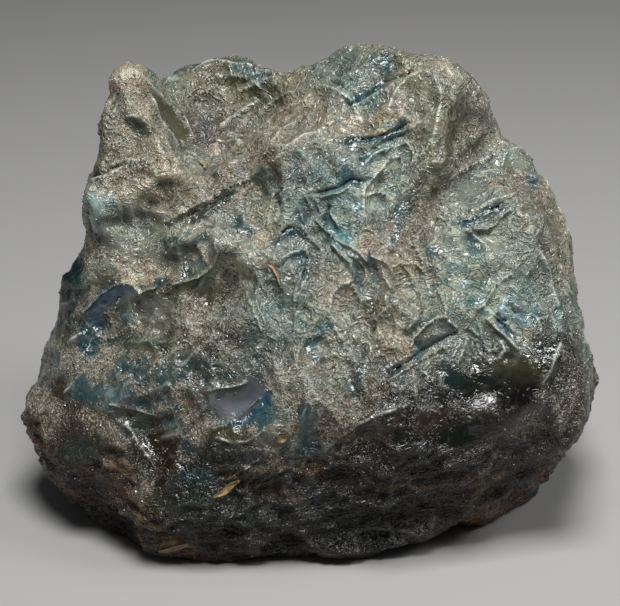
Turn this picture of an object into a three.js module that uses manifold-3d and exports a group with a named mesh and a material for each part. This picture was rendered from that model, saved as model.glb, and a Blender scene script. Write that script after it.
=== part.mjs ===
// A worn boulder of massive blue-green apatite, one piece of stone.
// Millimetres. +X is to the right, +Y is to the back and +Z is up.
// The origin is where it rests, under its middle.
import * as THREE from "three";
import { ImprovedNoise } from "three/addons/math/ImprovedNoise.js";
import { mergeVertices } from "three/addons/utils/BufferGeometryUtils.js";
import Module from "manifold-3d";

// ---- Driving sizes -----------------------------------------------------------------------------

const HEART = new THREE.Vector3(0, 0, 46); // a point well inside
const REACH = 110; // further out than any part of the stone
const DETAIL = 21; // divisions of an icosahedron's edge, for 20 * (DETAIL + 1)^2 triangles
const EDGE_ROUNDING = 15; // how softly the broad faces of the block run into each other
const HORN_ROUNDING = 3; // how softly the faces of the horn run into each other
const LOBE_ROUNDING = 8; // how softly a lobe grows out of the block
const HOLLOW_ROUNDING = 2; // how softly a hollow starts
const SCOOP_TALLNESS = 4; // half height of a scoop's ellipsoid, as a share of the scoop's depth
const BOWL_SIZE = 20; // from one shallow bowl of the surface to the next
const BOWL_DEPTH = 2.8;
const BOWL_GRID = 16; // bowls each way, enough to hold the stone
const BOWL_EDGE = 0.625; // squared distance, in bowls, from a middle to the edge
const BOWL_AVERAGE = 0.5; // so that the bowls take away as much as they add
const SEED = 4; // of the places of the bowls
const LUMPS = [
  [34, 2.5], // the size of broad lumps, and how far they stand out
  [13, 1.4], // small lumps
];
const LUMP_SHIFT = new THREE.Vector3(7, 3, 5); // which stretch of the noise the lumps are
const STRIDE = 2; // step in towards the stone, before it is met
const HALVINGS = 20; // of the last stride
const SLOPE_STEP = 0.05; // on each side of a point, to measure a slope
const FLATTEST = 0.2; // least squared slope, where two lobes cancel out
const SETTLINGS = 2; // steps that move a point onto the surface
const TINY = 1e-9; // too near the middle of an ellipsoid to measure a slope
const EVENING_ROUNDS = 24; // how often the vertices are spread evenly over the surface
const EVENING_SHARE = 0.4; // how far a vertex moves each time towards its neighbours

// ---- Small tools -------------------------------------------------------------------------------

const smoothMin = (a, b, width) => {
  const overlap = Math.max(width - Math.abs(a - b), 0) / width;
  return Math.min(a, b) - (overlap * overlap * width) / 4;
};
const smoothMax = (a, b, width) => -smoothMin(-a, -b, width);

// A broad face: everything beyond the plane that passes through a point is outside.
function broadFace(through, facing) {
  const normal = new THREE.Vector3(...facing).normalize();
  const offset = normal.dot(new THREE.Vector3(...through));
  return (p) => normal.dot(p) - offset;
}

// A block between broad faces.
function facetted(faces, rounding) {
  return (p) => faces.reduce((value, face) => smoothMax(value, face(p), rounding), -Infinity);
}

// An ellipsoid with these half sizes, turned by a quaternion.
function ellipsoid(middle, [a, b, c], turn) {
  const inverse = turn.clone().invert();
  const local = new THREE.Vector3();
  return (p) => {
    local.subVectors(p, middle).applyQuaternion(inverse);
    const near = Math.hypot(local.x / a, local.y / b, local.z / c);
    const slope = Math.hypot(local.x / a ** 2, local.y / b ** 2, local.z / c ** 2);
    return slope < TINY ? -Math.min(a, b, c) : (near * (near - 1)) / slope;
  };
}

// A rounded lump, turned by degrees about X, Y and Z.
function lobe(centre, half, turn = [0, 0, 0]) {
  const angles = turn.map(THREE.MathUtils.degToRad);
  const quaternion = new THREE.Quaternion().setFromEuler(new THREE.Euler(...angles, "ZYX"));
  return ellipsoid(new THREE.Vector3(...centre), half, quaternion);
}

// A hollow scooped out of the surface, with an oval rim of this length and width.
function scoop(through, facing, [length, width], depth, along = [1, 0, 0]) {
  const out = new THREE.Vector3(...facing).normalize();
  const across = new THREE.Vector3().crossVectors(out, new THREE.Vector3(...along)).normalize();
  const lengthways = new THREE.Vector3().crossVectors(across, out);
  const axes = new THREE.Matrix4().makeBasis(lengthways, across, out);
  const half = SCOOP_TALLNESS * depth;
  const middle = new THREE.Vector3(...through).addScaledVector(out, half - depth);
  const rimShare = Math.sqrt(1 - ((half - depth) / half) ** 2); // of the half size, at the surface
  const turn = new THREE.Quaternion().setFromRotationMatrix(axes);
  return ellipsoid(middle, [length / (2 * rimShare), width / (2 * rimShare), half], turn);
}

// A round bar along a bent line, each point of which is [x, y, z, radius].
function bar(points) {
  const ends = points.map(([x, y, z, radius]) => ({ at: new THREE.Vector3(x, y, z), radius }));
  const along = new THREE.Vector3();
  const away = new THREE.Vector3();
  return (p) => {
    let nearest = Infinity;
    for (let i = 1; i < ends.length; i++) {
      along.subVectors(ends[i].at, ends[i - 1].at);
      away.subVectors(p, ends[i - 1].at);
      const share = THREE.MathUtils.clamp(away.dot(along) / along.lengthSq(), 0, 1);
      const radius = THREE.MathUtils.lerp(ends[i - 1].radius, ends[i].radius, share);
      nearest = Math.min(nearest, away.addScaledVector(along, -share).length() - radius);
    }
    return nearest;
  };
}

// ---- The block ---------------------------------------------------------------------------------

const block = facetted([
  broadFace([0, -26, 73], [0.06, -0.8, 0.6]), // long front slope
  broadFace([-40, -24, 62], [-0.38, -0.78, 0.5]), // left front slope
  broadFace([0, -57, 30], [0, -0.995, -0.06]), // low front
  broadFace([46, -48, 40], [0.25, -0.87, -0.42]), // low right front, undercut
  broadFace([-46, -44.5, 20], [-0.45, -0.86, -0.25]), // low left front
  broadFace([-62.6, 0, 55], [-0.93, 0.05, 0.38]), // left flank
  broadFace([-82, -14, 18], [-0.72, -0.38, -0.59]), // left undercut
  broadFace([74, 0, 46], [0.97, -0.05, 0.2]), // right flank
  broadFace([57.2, 0, 80], [0.85, 0, 0.53]), // right shoulder
  broadFace([70.5, -5, 14], [0.82, -0.2, -0.54]), // right undercut
  broadFace([56, 34, 50], [0.62, 0.77, 0.16]), // right back corner
  broadFace([10, 53, 50], [0.12, 0.96, 0.26]), // back
  broadFace([-46, 40, 46], [-0.55, 0.8, 0.22]), // left back corner
  broadFace([0, 46, 14], [0.1, 0.8, -0.6]), // back undercut
  broadFace([-60, 24, 14], [-0.7, 0.4, -0.6]), // left back undercut
  broadFace([0, 10, 98], [0, 0.05, 1]), // top
  broadFace([0, 0, -5], [0, 0, -1]), // underside
], EDGE_ROUNDING);

const horn = facetted([
  broadFace([-44, -3, 98], [-0.12, -0.87, 0.47]), // front
  broadFace([-34.5, -2.9, 98], [0.8, -0.2, 0.57]), // right
  broadFace([-53.8, 8, 100], [-0.995, -0.1, 0.03]), // left
  broadFace([-52.2, 8, 107], [-0.93, -0.1, 0.33]), // left of the tip
  broadFace([-46, 8, 115], [0, 0, 1]), // cap
  broadFace([-44, 18, 110], [0, 0.9, 0.4]), // back
  broadFace([-44, 8, 72], [-0.4, -0.4, -0.82]), // foot
], HORN_ROUNDING);

// ---- Lobes that stand out of it ----------------------------------------------------------------

const lobes = [
  horn,
  lobe([-49, 0, 76], [7.6, 14, 13]), // left flank, below the horn
  lobe([-39, 26, 86], [13, 13, 16]), // between the horn and the hump
  lobe([-22.5, 33, 86], [23, 17, 23]), // back hump
  lobe([-5, 24, 91.5], [14, 12, 14]), // saddle between hump and crown
  lobe([12, 16, 84], [22, 22, 31]), // crown knob, left half
  lobe([22, 16, 96], [13, 16, 20]), // crown knob, top
  lobe([30.5, 9, 82], [19.5, 22, 33]), // crown knob, right half
  lobe([40.8, 8, 97.5], [10.3, 12, 9.5]), // right edge of the knob
  lobe([43.5, 2, 66], [21.5, 24, 30]), // right shoulder
  lobe([57, -2, 65], [11, 14, 12]), // right flank, below the shoulder
  lobe([-26, -33, 14], [18, 16, 14]), // left foot
  lobe([15, -33, 13], [16, 17, 14]), // right foot
  lobe([26, 34, 44], [34, 20, 30]), // swell of the back
  bar([[-52, -20, 63, 4], [-41, -21, 68, 4], [-30, -23, 71, 4], [-20, -21, 76, 3]]), // left ledge
  bar([[-7, -7, 92, 3], [-8, -13, 83, 4], [-10, -20, 75, 4], [-4, -26, 67, 3]]), // spine down the middle
  bar([[30, 4, 112, 3], [34, -4, 107, 3], [34, -8, 101, 3], [29, -13, 94, 3], [24, -16, 86, 3]]),
  bar([[29, -18, 77, 3], [40, -13, 80, 3.5], [50, -12, 87, 3.5]]), // crest of the shoulder
  bar([[-41, 5, 109, 3], [-38, 1, 104, 3], [-33, -3, 96, 3]]), // ridge down the horn
];

// ---- Hollows -----------------------------------------------------------------------------------

const frontward = [0.05, -0.8, 0.6];
const hollows = [
  bar([[57, 24, 103, 5], [51.6, 10, 99, 4], [47, 0, 95.5, 3.5]]), // notch on the right of the crown
  bar([[-24, 24, 112, 7], [-21, 10, 102, 7], [-18, -8, 97, 5]]), // between horn and crown
  bar([[58, 18, 103, 7], [50, 2, 97, 6], [37, -14, 88, 7], [20, -30, 77, 4]]), // between crown and shoulder
  scoop([-36, 4, 101], [0.8, -0.2, 0.57], [26, 16], 0.8, [0.5, 0, -0.8]), // right side of the horn
  scoop([-22, 17, 97], [0, -0.4, 0.9], [22, 22], 3), // bowl
  scoop([-14, 6, 98], [-0.5, -0.4, 0.77], [30, 14], 2, [0.2, -0.6, -0.7]), // left face of the crown
  scoop([25, -3, 108], [0.05, -0.75, 0.66], [22, 14], 2.5, [0.3, -0.5, -0.8]), // oval hollow of the knob
  scoop([20, -12, 92], frontward, [26, 14], 2.5, [-0.3, -0.5, -0.8]), // shield hollow
  scoop([39, -5, 97], [0.5, -0.6, 0.6], [30, 16], 3, [-0.3, -0.6, -0.75]), // right face of the knob
  scoop([50, -6, 90], [0.35, -0.55, 0.75], [30, 18], 1.5, [1, 0.3, 0]), // panel above the shoulder's crest
  scoop([46, -18, 80], [0.1, -0.8, 0.6], [24, 11], 3, [1, 0.1, 0.5]), // hollow below the crest
  scoop([-17, -9, 86], [-0.2, -0.75, 0.6], [22, 15], 1.5, [0.3, -0.6, -0.8]), // beside the spine
  scoop([-31, -12, 81], [-0.2, -0.7, 0.65], [30, 10], 2.5, [1, 0.1, 0.25]), // under the left crease
  scoop([-36, -19, 72], [-0.3, -0.75, 0.55], [22, 12], 2, [1, 0.1, 0.2]), // above the ledge
  scoop([-52, -20, 56], [-0.45, -0.75, 0.45], [22, 16], 3, [1, -0.4, 0.4]), // under the ledge, left
  scoop([-40, -24, 60], [-0.3, -0.8, 0.5], [18, 14], 3, [1, -0.2, 0.4]), // under the ledge, middle
  scoop([-25, -26, 66], [-0.1, -0.8, 0.55], [26, 13], 3, [1, 0, 0.35]), // under the ledge, right
  scoop([-18, -43, 44], [-0.1, -0.85, 0.5], [24, 12], 3, [1, 0.1, 0.3]), // lens
  scoop([3, -20, 80], frontward, [26, 16], 2, [0.2, -0.6, -0.8]), // right of the spine
  scoop([10, -29, 67], frontward, [24, 14], 2, [0.1, -0.6, -0.8]), // middle
  scoop([28, -27, 69], frontward, [20, 12], 2, [0.5, -0.5, -0.7]), // fan, upper
  scoop([40, -33, 60], frontward, [26, 12], 2, [1, 0, 0.4]), // fan, lower
  scoop([56, -27, 63], [0.4, -0.75, 0.5], [24, 16], 2, [0.6, 0, 0.8]), // teal panel
  scoop([0, -38, 56], [0, -0.85, 0.5], [30, 14], 1.5, [1, 0, 0.2]), // above the middle brow
  scoop([-35, -38, 44], [-0.35, -0.85, 0.3], [30, 20], 1.5, [1, 0, 0]), // above the left brow
  scoop([-50, -40, 28], [-0.5, -0.85, -0.1], [36, 16], 2, [1, -0.5, 0.3]), // low left front
  scoop([-66, 4, 56], [-0.94, 0.05, 0.34], [44, 26], 3, [0, 1, 0.4]), // left flank, upper
  scoop([-70, 14, 30], [-0.95, 0.2, -0.1], [50, 28], 3, [0, 1, -0.3]), // left flank, lower
  scoop([-64, -4, 58], [-0.95, -0.1, 0.3], [30, 20], 2, [0, 1, 0]), // left flank, below the pale patch
  scoop([-55, -33, 10], [-0.5, -0.65, -0.55], [36, 16], 2, [1, -0.7, 0]), // low left corner
  scoop([70, 10, 52], [0.97, 0.05, 0.2], [44, 30], 3, [0, 1, 0.5]), // right flank, upper
  scoop([72, 14, 26], [0.93, 0.2, -0.3], [44, 24], 3, [0, 1, 0.2]), // right flank, lower
  scoop([54, 34, 62], [0.62, 0.75, 0.2], [44, 36], 4, [-0.5, 0.4, 0.8]), // right back corner
  scoop([22, 50, 70], [0.1, 0.95, 0.3], [58, 34], 5, [1, 0, -0.3]), // back, upper
  scoop([-4, 50, 42], [0.1, 0.95, 0], [64, 30], 4, [1, 0, 0.35]), // back, middle
  scoop([-46, 38, 52], [-0.55, 0.8, 0.22], [46, 30], 4, [0.6, 0.4, 0.9]), // left back corner
  scoop([30, 48, 24], [0.2, 0.85, -0.4], [54, 22], 3, [1, 0, 0.2]), // back, lower
];
for (const [x, y, z, length] of [[30, -49, 37, 70], [34, -46, 28, 84], [38, -41, 18, 76]]) {
  hollows.push(scoop([x, y, z], [0.2, -0.88, -0.4], [length, 11], 1.4, [1, 0.25, 0.2])); // worn layers
}

// ---- Unevenness --------------------------------------------------------------------------------

const noise = new ImprovedNoise();
THREE.MathUtils.seededRandom(SEED);
const anyPlace = () => [0, 1, 2].map(() => THREE.MathUtils.seededRandom());
const bowlMiddles = Array.from({ length: BOWL_GRID ** 3 }, anyPlace);

// Shallow bowls side by side, which meet in sharp edges: 0 in the middle of a bowl and about 1 on an edge.
function bowls(p) {
  const [x, y, z] = [p.x, p.y, p.z].map((v) => v / BOWL_SIZE + BOWL_GRID / 2);
  const [i, j, k] = [x, y, z].map(Math.floor);
  let nearest = Infinity;
  for (let a = i - 1; a <= i + 1; a++) {
    for (let b = j - 1; b <= j + 1; b++) {
      for (let c = k - 1; c <= k + 1; c++) {
        const [u, v, w] = bowlMiddles[(a * BOWL_GRID + b) * BOWL_GRID + c];
        nearest = Math.min(nearest, (a + u - x) ** 2 + (b + v - y) ** 2 + (c + w - z) ** 2);
      }
    }
  }
  return nearest / BOWL_EDGE;
}

// How far the uneven surface stands out of the smooth one.
function unevenness(p) {
  let sum = BOWL_DEPTH * (bowls(p) - BOWL_AVERAGE);
  for (const [size, height] of LUMPS) {
    const at = p.clone().divideScalar(size).add(LUMP_SHIFT);
    sum += height * noise.noise(at.x, at.y, at.z);
  }
  return sum;
}

// Below zero inside the stone, above zero outside, and about a distance near the surface.
function stone(p) {
  let value = block(p);
  for (const part of lobes) value = smoothMin(value, part(p), LOBE_ROUNDING);
  for (const hollow of hollows) value = smoothMax(value, -hollow(p), HOLLOW_ROUNDING);
  return value - unevenness(p);
}

// ---- The surface -------------------------------------------------------------------------------

// Walks in towards the heart until it meets the stone.
function meet(direction) {
  const p = new THREE.Vector3();
  const inside = (r) => stone(p.copy(HEART).addScaledVector(direction, r)) < 0;
  let near = REACH;
  while (!inside(near)) near -= STRIDE;
  let far = near + STRIDE;
  for (let i = 0; i < HALVINGS; i++) {
    const middle = (near + far) / 2;
    if (inside(middle)) near = middle;
    else far = middle;
  }
  return p.copy(HEART).addScaledVector(direction, near);
}

function slopeAt(p, slope) {
  const q = p.clone();
  for (const axis of ["x", "y", "z"]) {
    q[axis] = p[axis] + SLOPE_STEP;
    const ahead = stone(q);
    q[axis] = p[axis] - SLOPE_STEP;
    slope[axis] = (ahead - stone(q)) / (2 * SLOPE_STEP);
    q[axis] = p[axis];
  }
  return slope;
}

// Moves a point near the surface onto it.
function settle(p, slope) {
  for (let pass = 0; pass < SETTLINGS; pass++) {
    slopeAt(p, slope);
    p.addScaledVector(slope, -stone(p) / Math.max(slope.lengthSq(), FLATTEST));
  }
}

function neighboursIn(geometry, count) {
  const neighbours = Array.from({ length: count }, () => new Set());
  const corners = geometry.index.array;
  for (let i = 0; i < corners.length; i += 3) {
    for (let k = 0; k < 3; k++) {
      neighbours[corners[i + k]].add(corners[i + ((k + 1) % 3)]);
      neighbours[corners[i + k]].add(corners[i + ((k + 2) % 3)]);
    }
  }
  return neighbours;
}

// A ball is shrunk onto the stone, and its vertices are then spread evenly.
function stoneGeometry() {
  const ball = new THREE.IcosahedronGeometry(1, DETAIL);
  ball.deleteAttribute("normal");
  ball.deleteAttribute("uv");
  const geometry = mergeVertices(ball);
  const place = geometry.attributes.position;
  const points = [];
  for (let i = 0; i < place.count; i++) {
    const direction = new THREE.Vector3().fromBufferAttribute(place, i).normalize();
    points.push(meet(direction));
  }

  const neighbours = neighboursIn(geometry, place.count);
  const slope = new THREE.Vector3();
  for (let round = 0; round < EVENING_ROUNDS; round++) {
    const middles = neighbours.map((ring, i) => {
      const middle = new THREE.Vector3();
      let weights = 0;
      for (const n of ring) {
        const weight = points[n].distanceToSquared(points[i]);
        middle.addScaledVector(points[n], weight);
        weights += weight;
      }
      return middle.divideScalar(weights);
    });
    points.forEach((p, i) => {
      p.lerp(middles[i], EVENING_SHARE);
      settle(p, slope);
    });
  }
  points.forEach((p, i) => place.setXYZ(i, p.x, p.y, p.z));
  return geometry;
}

// ---- The resting face --------------------------------------------------------------------------

const wasm = await Module();
wasm.setup();

const solidOf = (geometry) =>
  new wasm.Manifold(
    new wasm.Mesh({
      numProp: 3,
      vertProperties: new Float32Array(geometry.attributes.position.array),
      triVerts: new Uint32Array(geometry.index.array),
    }),
  );

// The stone stands on a face cut at z = 0, with the origin under the middle of its box.
function standing(geometry) {
  const below = new THREE.BoxGeometry(4 * REACH, 4 * REACH, REACH).translate(0, 0, -REACH / 2);
  below.deleteAttribute("normal");
  below.deleteAttribute("uv");
  const rest = solidOf(geometry).subtract(solidOf(mergeVertices(below)));
  const { vertProperties, triVerts, numProp } = rest.getMesh();
  const cut = new THREE.BufferGeometry();
  cut.setAttribute("position", new THREE.BufferAttribute(new Float32Array(vertProperties), numProp));
  cut.setIndex(new THREE.BufferAttribute(new Uint32Array(triVerts), 1));
  cut.computeBoundingBox();
  const middle = cut.boundingBox.getCenter(new THREE.Vector3());
  cut.translate(-middle.x, -middle.y, 0);
  cut.computeVertexNormals();
  return cut;
}

const apatite = new THREE.MeshStandardMaterial({ color: 0x4d6468, roughness: 0.35, metalness: 0 });
const boulder = new THREE.Mesh(standing(stoneGeometry()), apatite);
boulder.name = "apatite_boulder";

const specimen = new THREE.Group();
specimen.add(boulder);
export default specimen;
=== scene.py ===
# %% [markdown]
# # A boulder of blue-green apatite
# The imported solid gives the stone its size, its place and its main forms. Everything finer is made here:
# the relief of ridges, films of crust and glassy windows, the finish, and the small grains on top.

# %% The frame
import math

import bmesh
import bpy
import numpy as np
from mathutils import Matrix, Vector, noise
from mathutils.bvhtree import BVHTree


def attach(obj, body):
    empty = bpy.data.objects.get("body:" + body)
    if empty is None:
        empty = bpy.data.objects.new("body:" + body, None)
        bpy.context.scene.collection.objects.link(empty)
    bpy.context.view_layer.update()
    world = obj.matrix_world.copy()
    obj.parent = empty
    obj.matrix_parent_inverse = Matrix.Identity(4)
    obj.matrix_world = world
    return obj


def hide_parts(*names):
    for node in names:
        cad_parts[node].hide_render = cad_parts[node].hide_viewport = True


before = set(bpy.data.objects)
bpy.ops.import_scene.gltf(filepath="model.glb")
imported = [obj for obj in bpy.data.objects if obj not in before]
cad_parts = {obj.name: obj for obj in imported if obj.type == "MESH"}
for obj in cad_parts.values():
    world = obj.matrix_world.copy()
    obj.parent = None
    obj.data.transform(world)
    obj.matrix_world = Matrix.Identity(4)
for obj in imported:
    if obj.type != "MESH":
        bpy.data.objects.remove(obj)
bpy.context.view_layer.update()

MM = 0.001
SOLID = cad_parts["apatite_boulder"]

# %% [markdown]
# ## Camera, floor and light
# A stone is judged from a little above and fairly close, so the lens is long and looks 24 degrees down.
# A soft lamp overhead grazes the ridges and leaves the undercut foot in shade, as on a shelf under a
# ceiling light. A weaker one on the right rounds the form, and a faint sky fills the rest. The floor
# is plain, pale and wide enough to fill the view.

# %% Camera
FRAME_WIDTH = 620
FRAME_MIDDLE = (310, 303)
FOCAL_PIXELS = 1738.5
SENSOR = 36.0
AIM = Vector((-0.746, -1.464, 52.0)) * MM
DISTANCE = 460 * MM
LOOKING_DOWN = math.radians(24)

lens = bpy.data.cameras.new("camera")
lens.sensor_width = SENSOR
lens.lens = FOCAL_PIXELS / FRAME_WIDTH * SENSOR
lens.clip_start, lens.clip_end = 0.01, 20
camera = bpy.data.objects.new("camera", lens)
camera.location = AIM + DISTANCE * Vector((0, -math.cos(LOOKING_DOWN), math.sin(LOOKING_DOWN)))
camera.rotation_euler = (math.pi / 2 - LOOKING_DOWN, 0, 0)
bpy.context.scene.collection.objects.link(camera)
bpy.context.scene.camera = camera
bpy.context.view_layer.update()
print("lens", round(lens.lens, 1), "mm")

# %% Floor and lights
bpy.ops.mesh.primitive_plane_add(size=8, location=(0, 0, 0))
floor = bpy.context.object
floor.name = "floor"

FLOOR_COLOUR = (0.36, 0.355, 0.345, 1)
floor_finish = bpy.data.materials.new("floor")
floor_finish.use_nodes = True
floor_finish.node_tree.nodes["Principled BSDF"].inputs["Base Color"].default_value = FLOOR_COLOUR
floor_finish.node_tree.nodes["Principled BSDF"].inputs["Roughness"].default_value = 0.6
floor.data.materials.append(floor_finish)


def lamp(name, place, target, size, watts):
    """A soft square lamp that faces a target."""
    data = bpy.data.lights.new(name, "AREA")
    data.size = size
    data.energy = watts
    made = bpy.data.objects.new(name, data)
    made.location = place
    made.rotation_euler = (Vector(target) - Vector(place)).to_track_quat("-Z", "Y").to_euler()
    bpy.context.scene.collection.objects.link(made)
    return made


overhead = lamp("overhead", (0.03, -0.2, 0.78), (0, 0, 0.06), 0.3, 7.4)
side = lamp("right", (0.6, -0.1, 0.6), (0, 0, 0.07), 0.3, 2.4)
world = bpy.data.worlds.new("world")
world.use_nodes = True
world.node_tree.nodes["Background"].inputs["Color"].default_value = (0.9, 0.95, 1, 1)
world.node_tree.nodes["Background"].inputs["Strength"].default_value = 0.06
bpy.context.scene.world = world
bpy.context.scene.view_settings.view_transform = "Standard"
print("lamps of", round(overhead.data.energy, 1), "and", round(side.data.energy, 1), "watts")

# %% [markdown]
# ## A finer skin
# The solid has facets of three to four millimetres. A copy of it is merged and cut twice, each new
# point laid on the rounded surface, which gives facets under a millimetre: enough for ridges, steps
# and pits to be real shape. What is smaller still is bump in the finish.

# %% Fine skin
shape = bmesh.new()
shape.from_mesh(SOLID.data)
bmesh.ops.remove_doubles(shape, verts=shape.verts, dist=0.01 * MM)
for _ in range(2):
    bmesh.ops.subdivide_edges(shape, edges=shape.edges, cuts=1, use_grid_fill=True, smooth=0.7)
bmesh.ops.triangulate(shape, faces=[f for f in shape.faces if len(f.verts) > 3])
shape.normal_update()
SURFACE = BVHTree.FromBMesh(shape)
print("skin", len(shape.faces), "faces")

# %% [markdown]
# ## Finding a place on the stone
# Ridges, windows and stains are set down by where they are seen from the camera, as places in a frame
# that is 620 pixels wide. They could be given as points in space, but a place in the frame is easier to
# read and to move. A line of sight through it finds the surface, so that from there on a stroke is a
# path on the stone itself, with its width in millimetres, and holds from every side.

# %% Places on the stone
TURN = camera.matrix_world.to_3x3()
STROKE_STEP = 3.0  # pixels between the points at which a stroke is laid on the stone


def spot(across, down):
    """The point of the stone, in millimetres, at a place in the frame."""
    ray = TURN @ Vector((across - FRAME_MIDDLE[0], FRAME_MIDDLE[1] - down, -FOCAL_PIXELS))
    ray.normalize()
    hit = SURFACE.ray_cast(camera.location, ray)[0]
    if hit is None:
        passing = camera.location + ray * DISTANCE
        hit = SURFACE.find_nearest(passing)[0]
    return np.array(hit) / MM


def path(places_seen):
    """A stroke through places in the frame, as points on the stone."""
    seen = np.array(places_seen, float)
    if len(seen) == 1:
        return np.array([spot(*seen[0])])
    found = []
    for a, b in zip(seen[:-1], seen[1:]):
        count = max(1, round(np.hypot(*(b - a)) / STROKE_STEP))
        found += [spot(*(a + (b - a) * k / count)) for k in range(count)]
    found.append(spot(*seen[-1]))
    return np.array(found)


def away(points, stroke, reach):
    """How far each point is from a stroke, in millimetres, or the reach where it is further."""
    found = np.full(len(points), float(reach))
    low, high = stroke.min(0) - reach, stroke.max(0) + reach
    near = np.flatnonzero(((points > low) & (points < high)).all(1))
    best = np.minimum(reach, np.linalg.norm(points[near] - stroke[0], axis=1))
    for a, b in zip(stroke[:-1], stroke[1:]):
        line = b - a
        t = np.clip((points[near] - a) @ line / max(line @ line, 1e-9), 0, 1)
        best = np.minimum(best, np.linalg.norm(points[near] - a - t[:, None] * line, axis=1))
    found[near] = best
    return found


# %% [markdown]
# ## Ridges and creases
# Where the surface was dissolved it left thin glassy ridges, and between the plates there are creases.
# They are what catches the light, so each that is plain to see is listed, as a width and a
# height in millimetres and the places that it runs through. A ridge has a sharp crest and a crease is
# the same with a negative height.

# %% Ridges of the horn and the hump behind it
RIDGES = [
    ("horn ridge", 1.3, 1.0, [(151, 98), (155, 108), (163, 125), (168, 135), (173, 143)]),
    ("horn crease", 1.2, -0.6, [(155, 104), (161, 116), (167, 128), (174, 139)]),
    ("horn right edge", 1.2, 0.5, [(147, 80), (157, 92), (165, 102), (175, 110), (186, 121), (192, 137)]),
    ("horn cap", 1.6, 0.6, [(116, 80), (124, 75), (136, 74), (146, 80)]),
    ("horn foot lip", 0.9, 0.5, [(114, 164), (124, 161), (134, 160), (142, 161)]),
    ("horn foot crack", 1.1, 0.6, [(94, 180), (108, 174), (122, 168), (132, 165)]),
    ("horn foot cut", 1.0, -0.7, [(95, 176), (107, 171), (121, 165)]),
    ("horn window rim", 0.9, 0.4, [(124, 118), (132, 115), (142, 119), (151, 128)]),
    ("bowl diagonal", 1.1, 0.6, [(222, 125), (232, 117), (243, 110), (256, 102)]),
    ("block top", 1.0, 0.7, [(213, 148), (218, 142), (226, 143), (232, 141), (240, 143), (241, 151)]),
    ("block crack", 1.0, -0.9, [(211, 159), (220, 158), (226, 156), (230, 151), (234, 155), (242, 153)]),
    ("hump rim", 1.4, 0.7, [(193, 72), (203, 66), (214, 62), (228, 62), (243, 65), (258, 69), (272, 73)]),
    ("hump fold", 1.1, 0.6, [(216, 76), (230, 75), (244, 77), (256, 82), (262, 88)]),
    ("hump fold below", 1.1, 0.6, [(238, 90), (248, 87), (258, 84), (270, 78)]),
    ("hump crease", 1.1, -0.6, [(240, 83), (250, 80), (262, 76), (276, 74)]),
]

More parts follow.
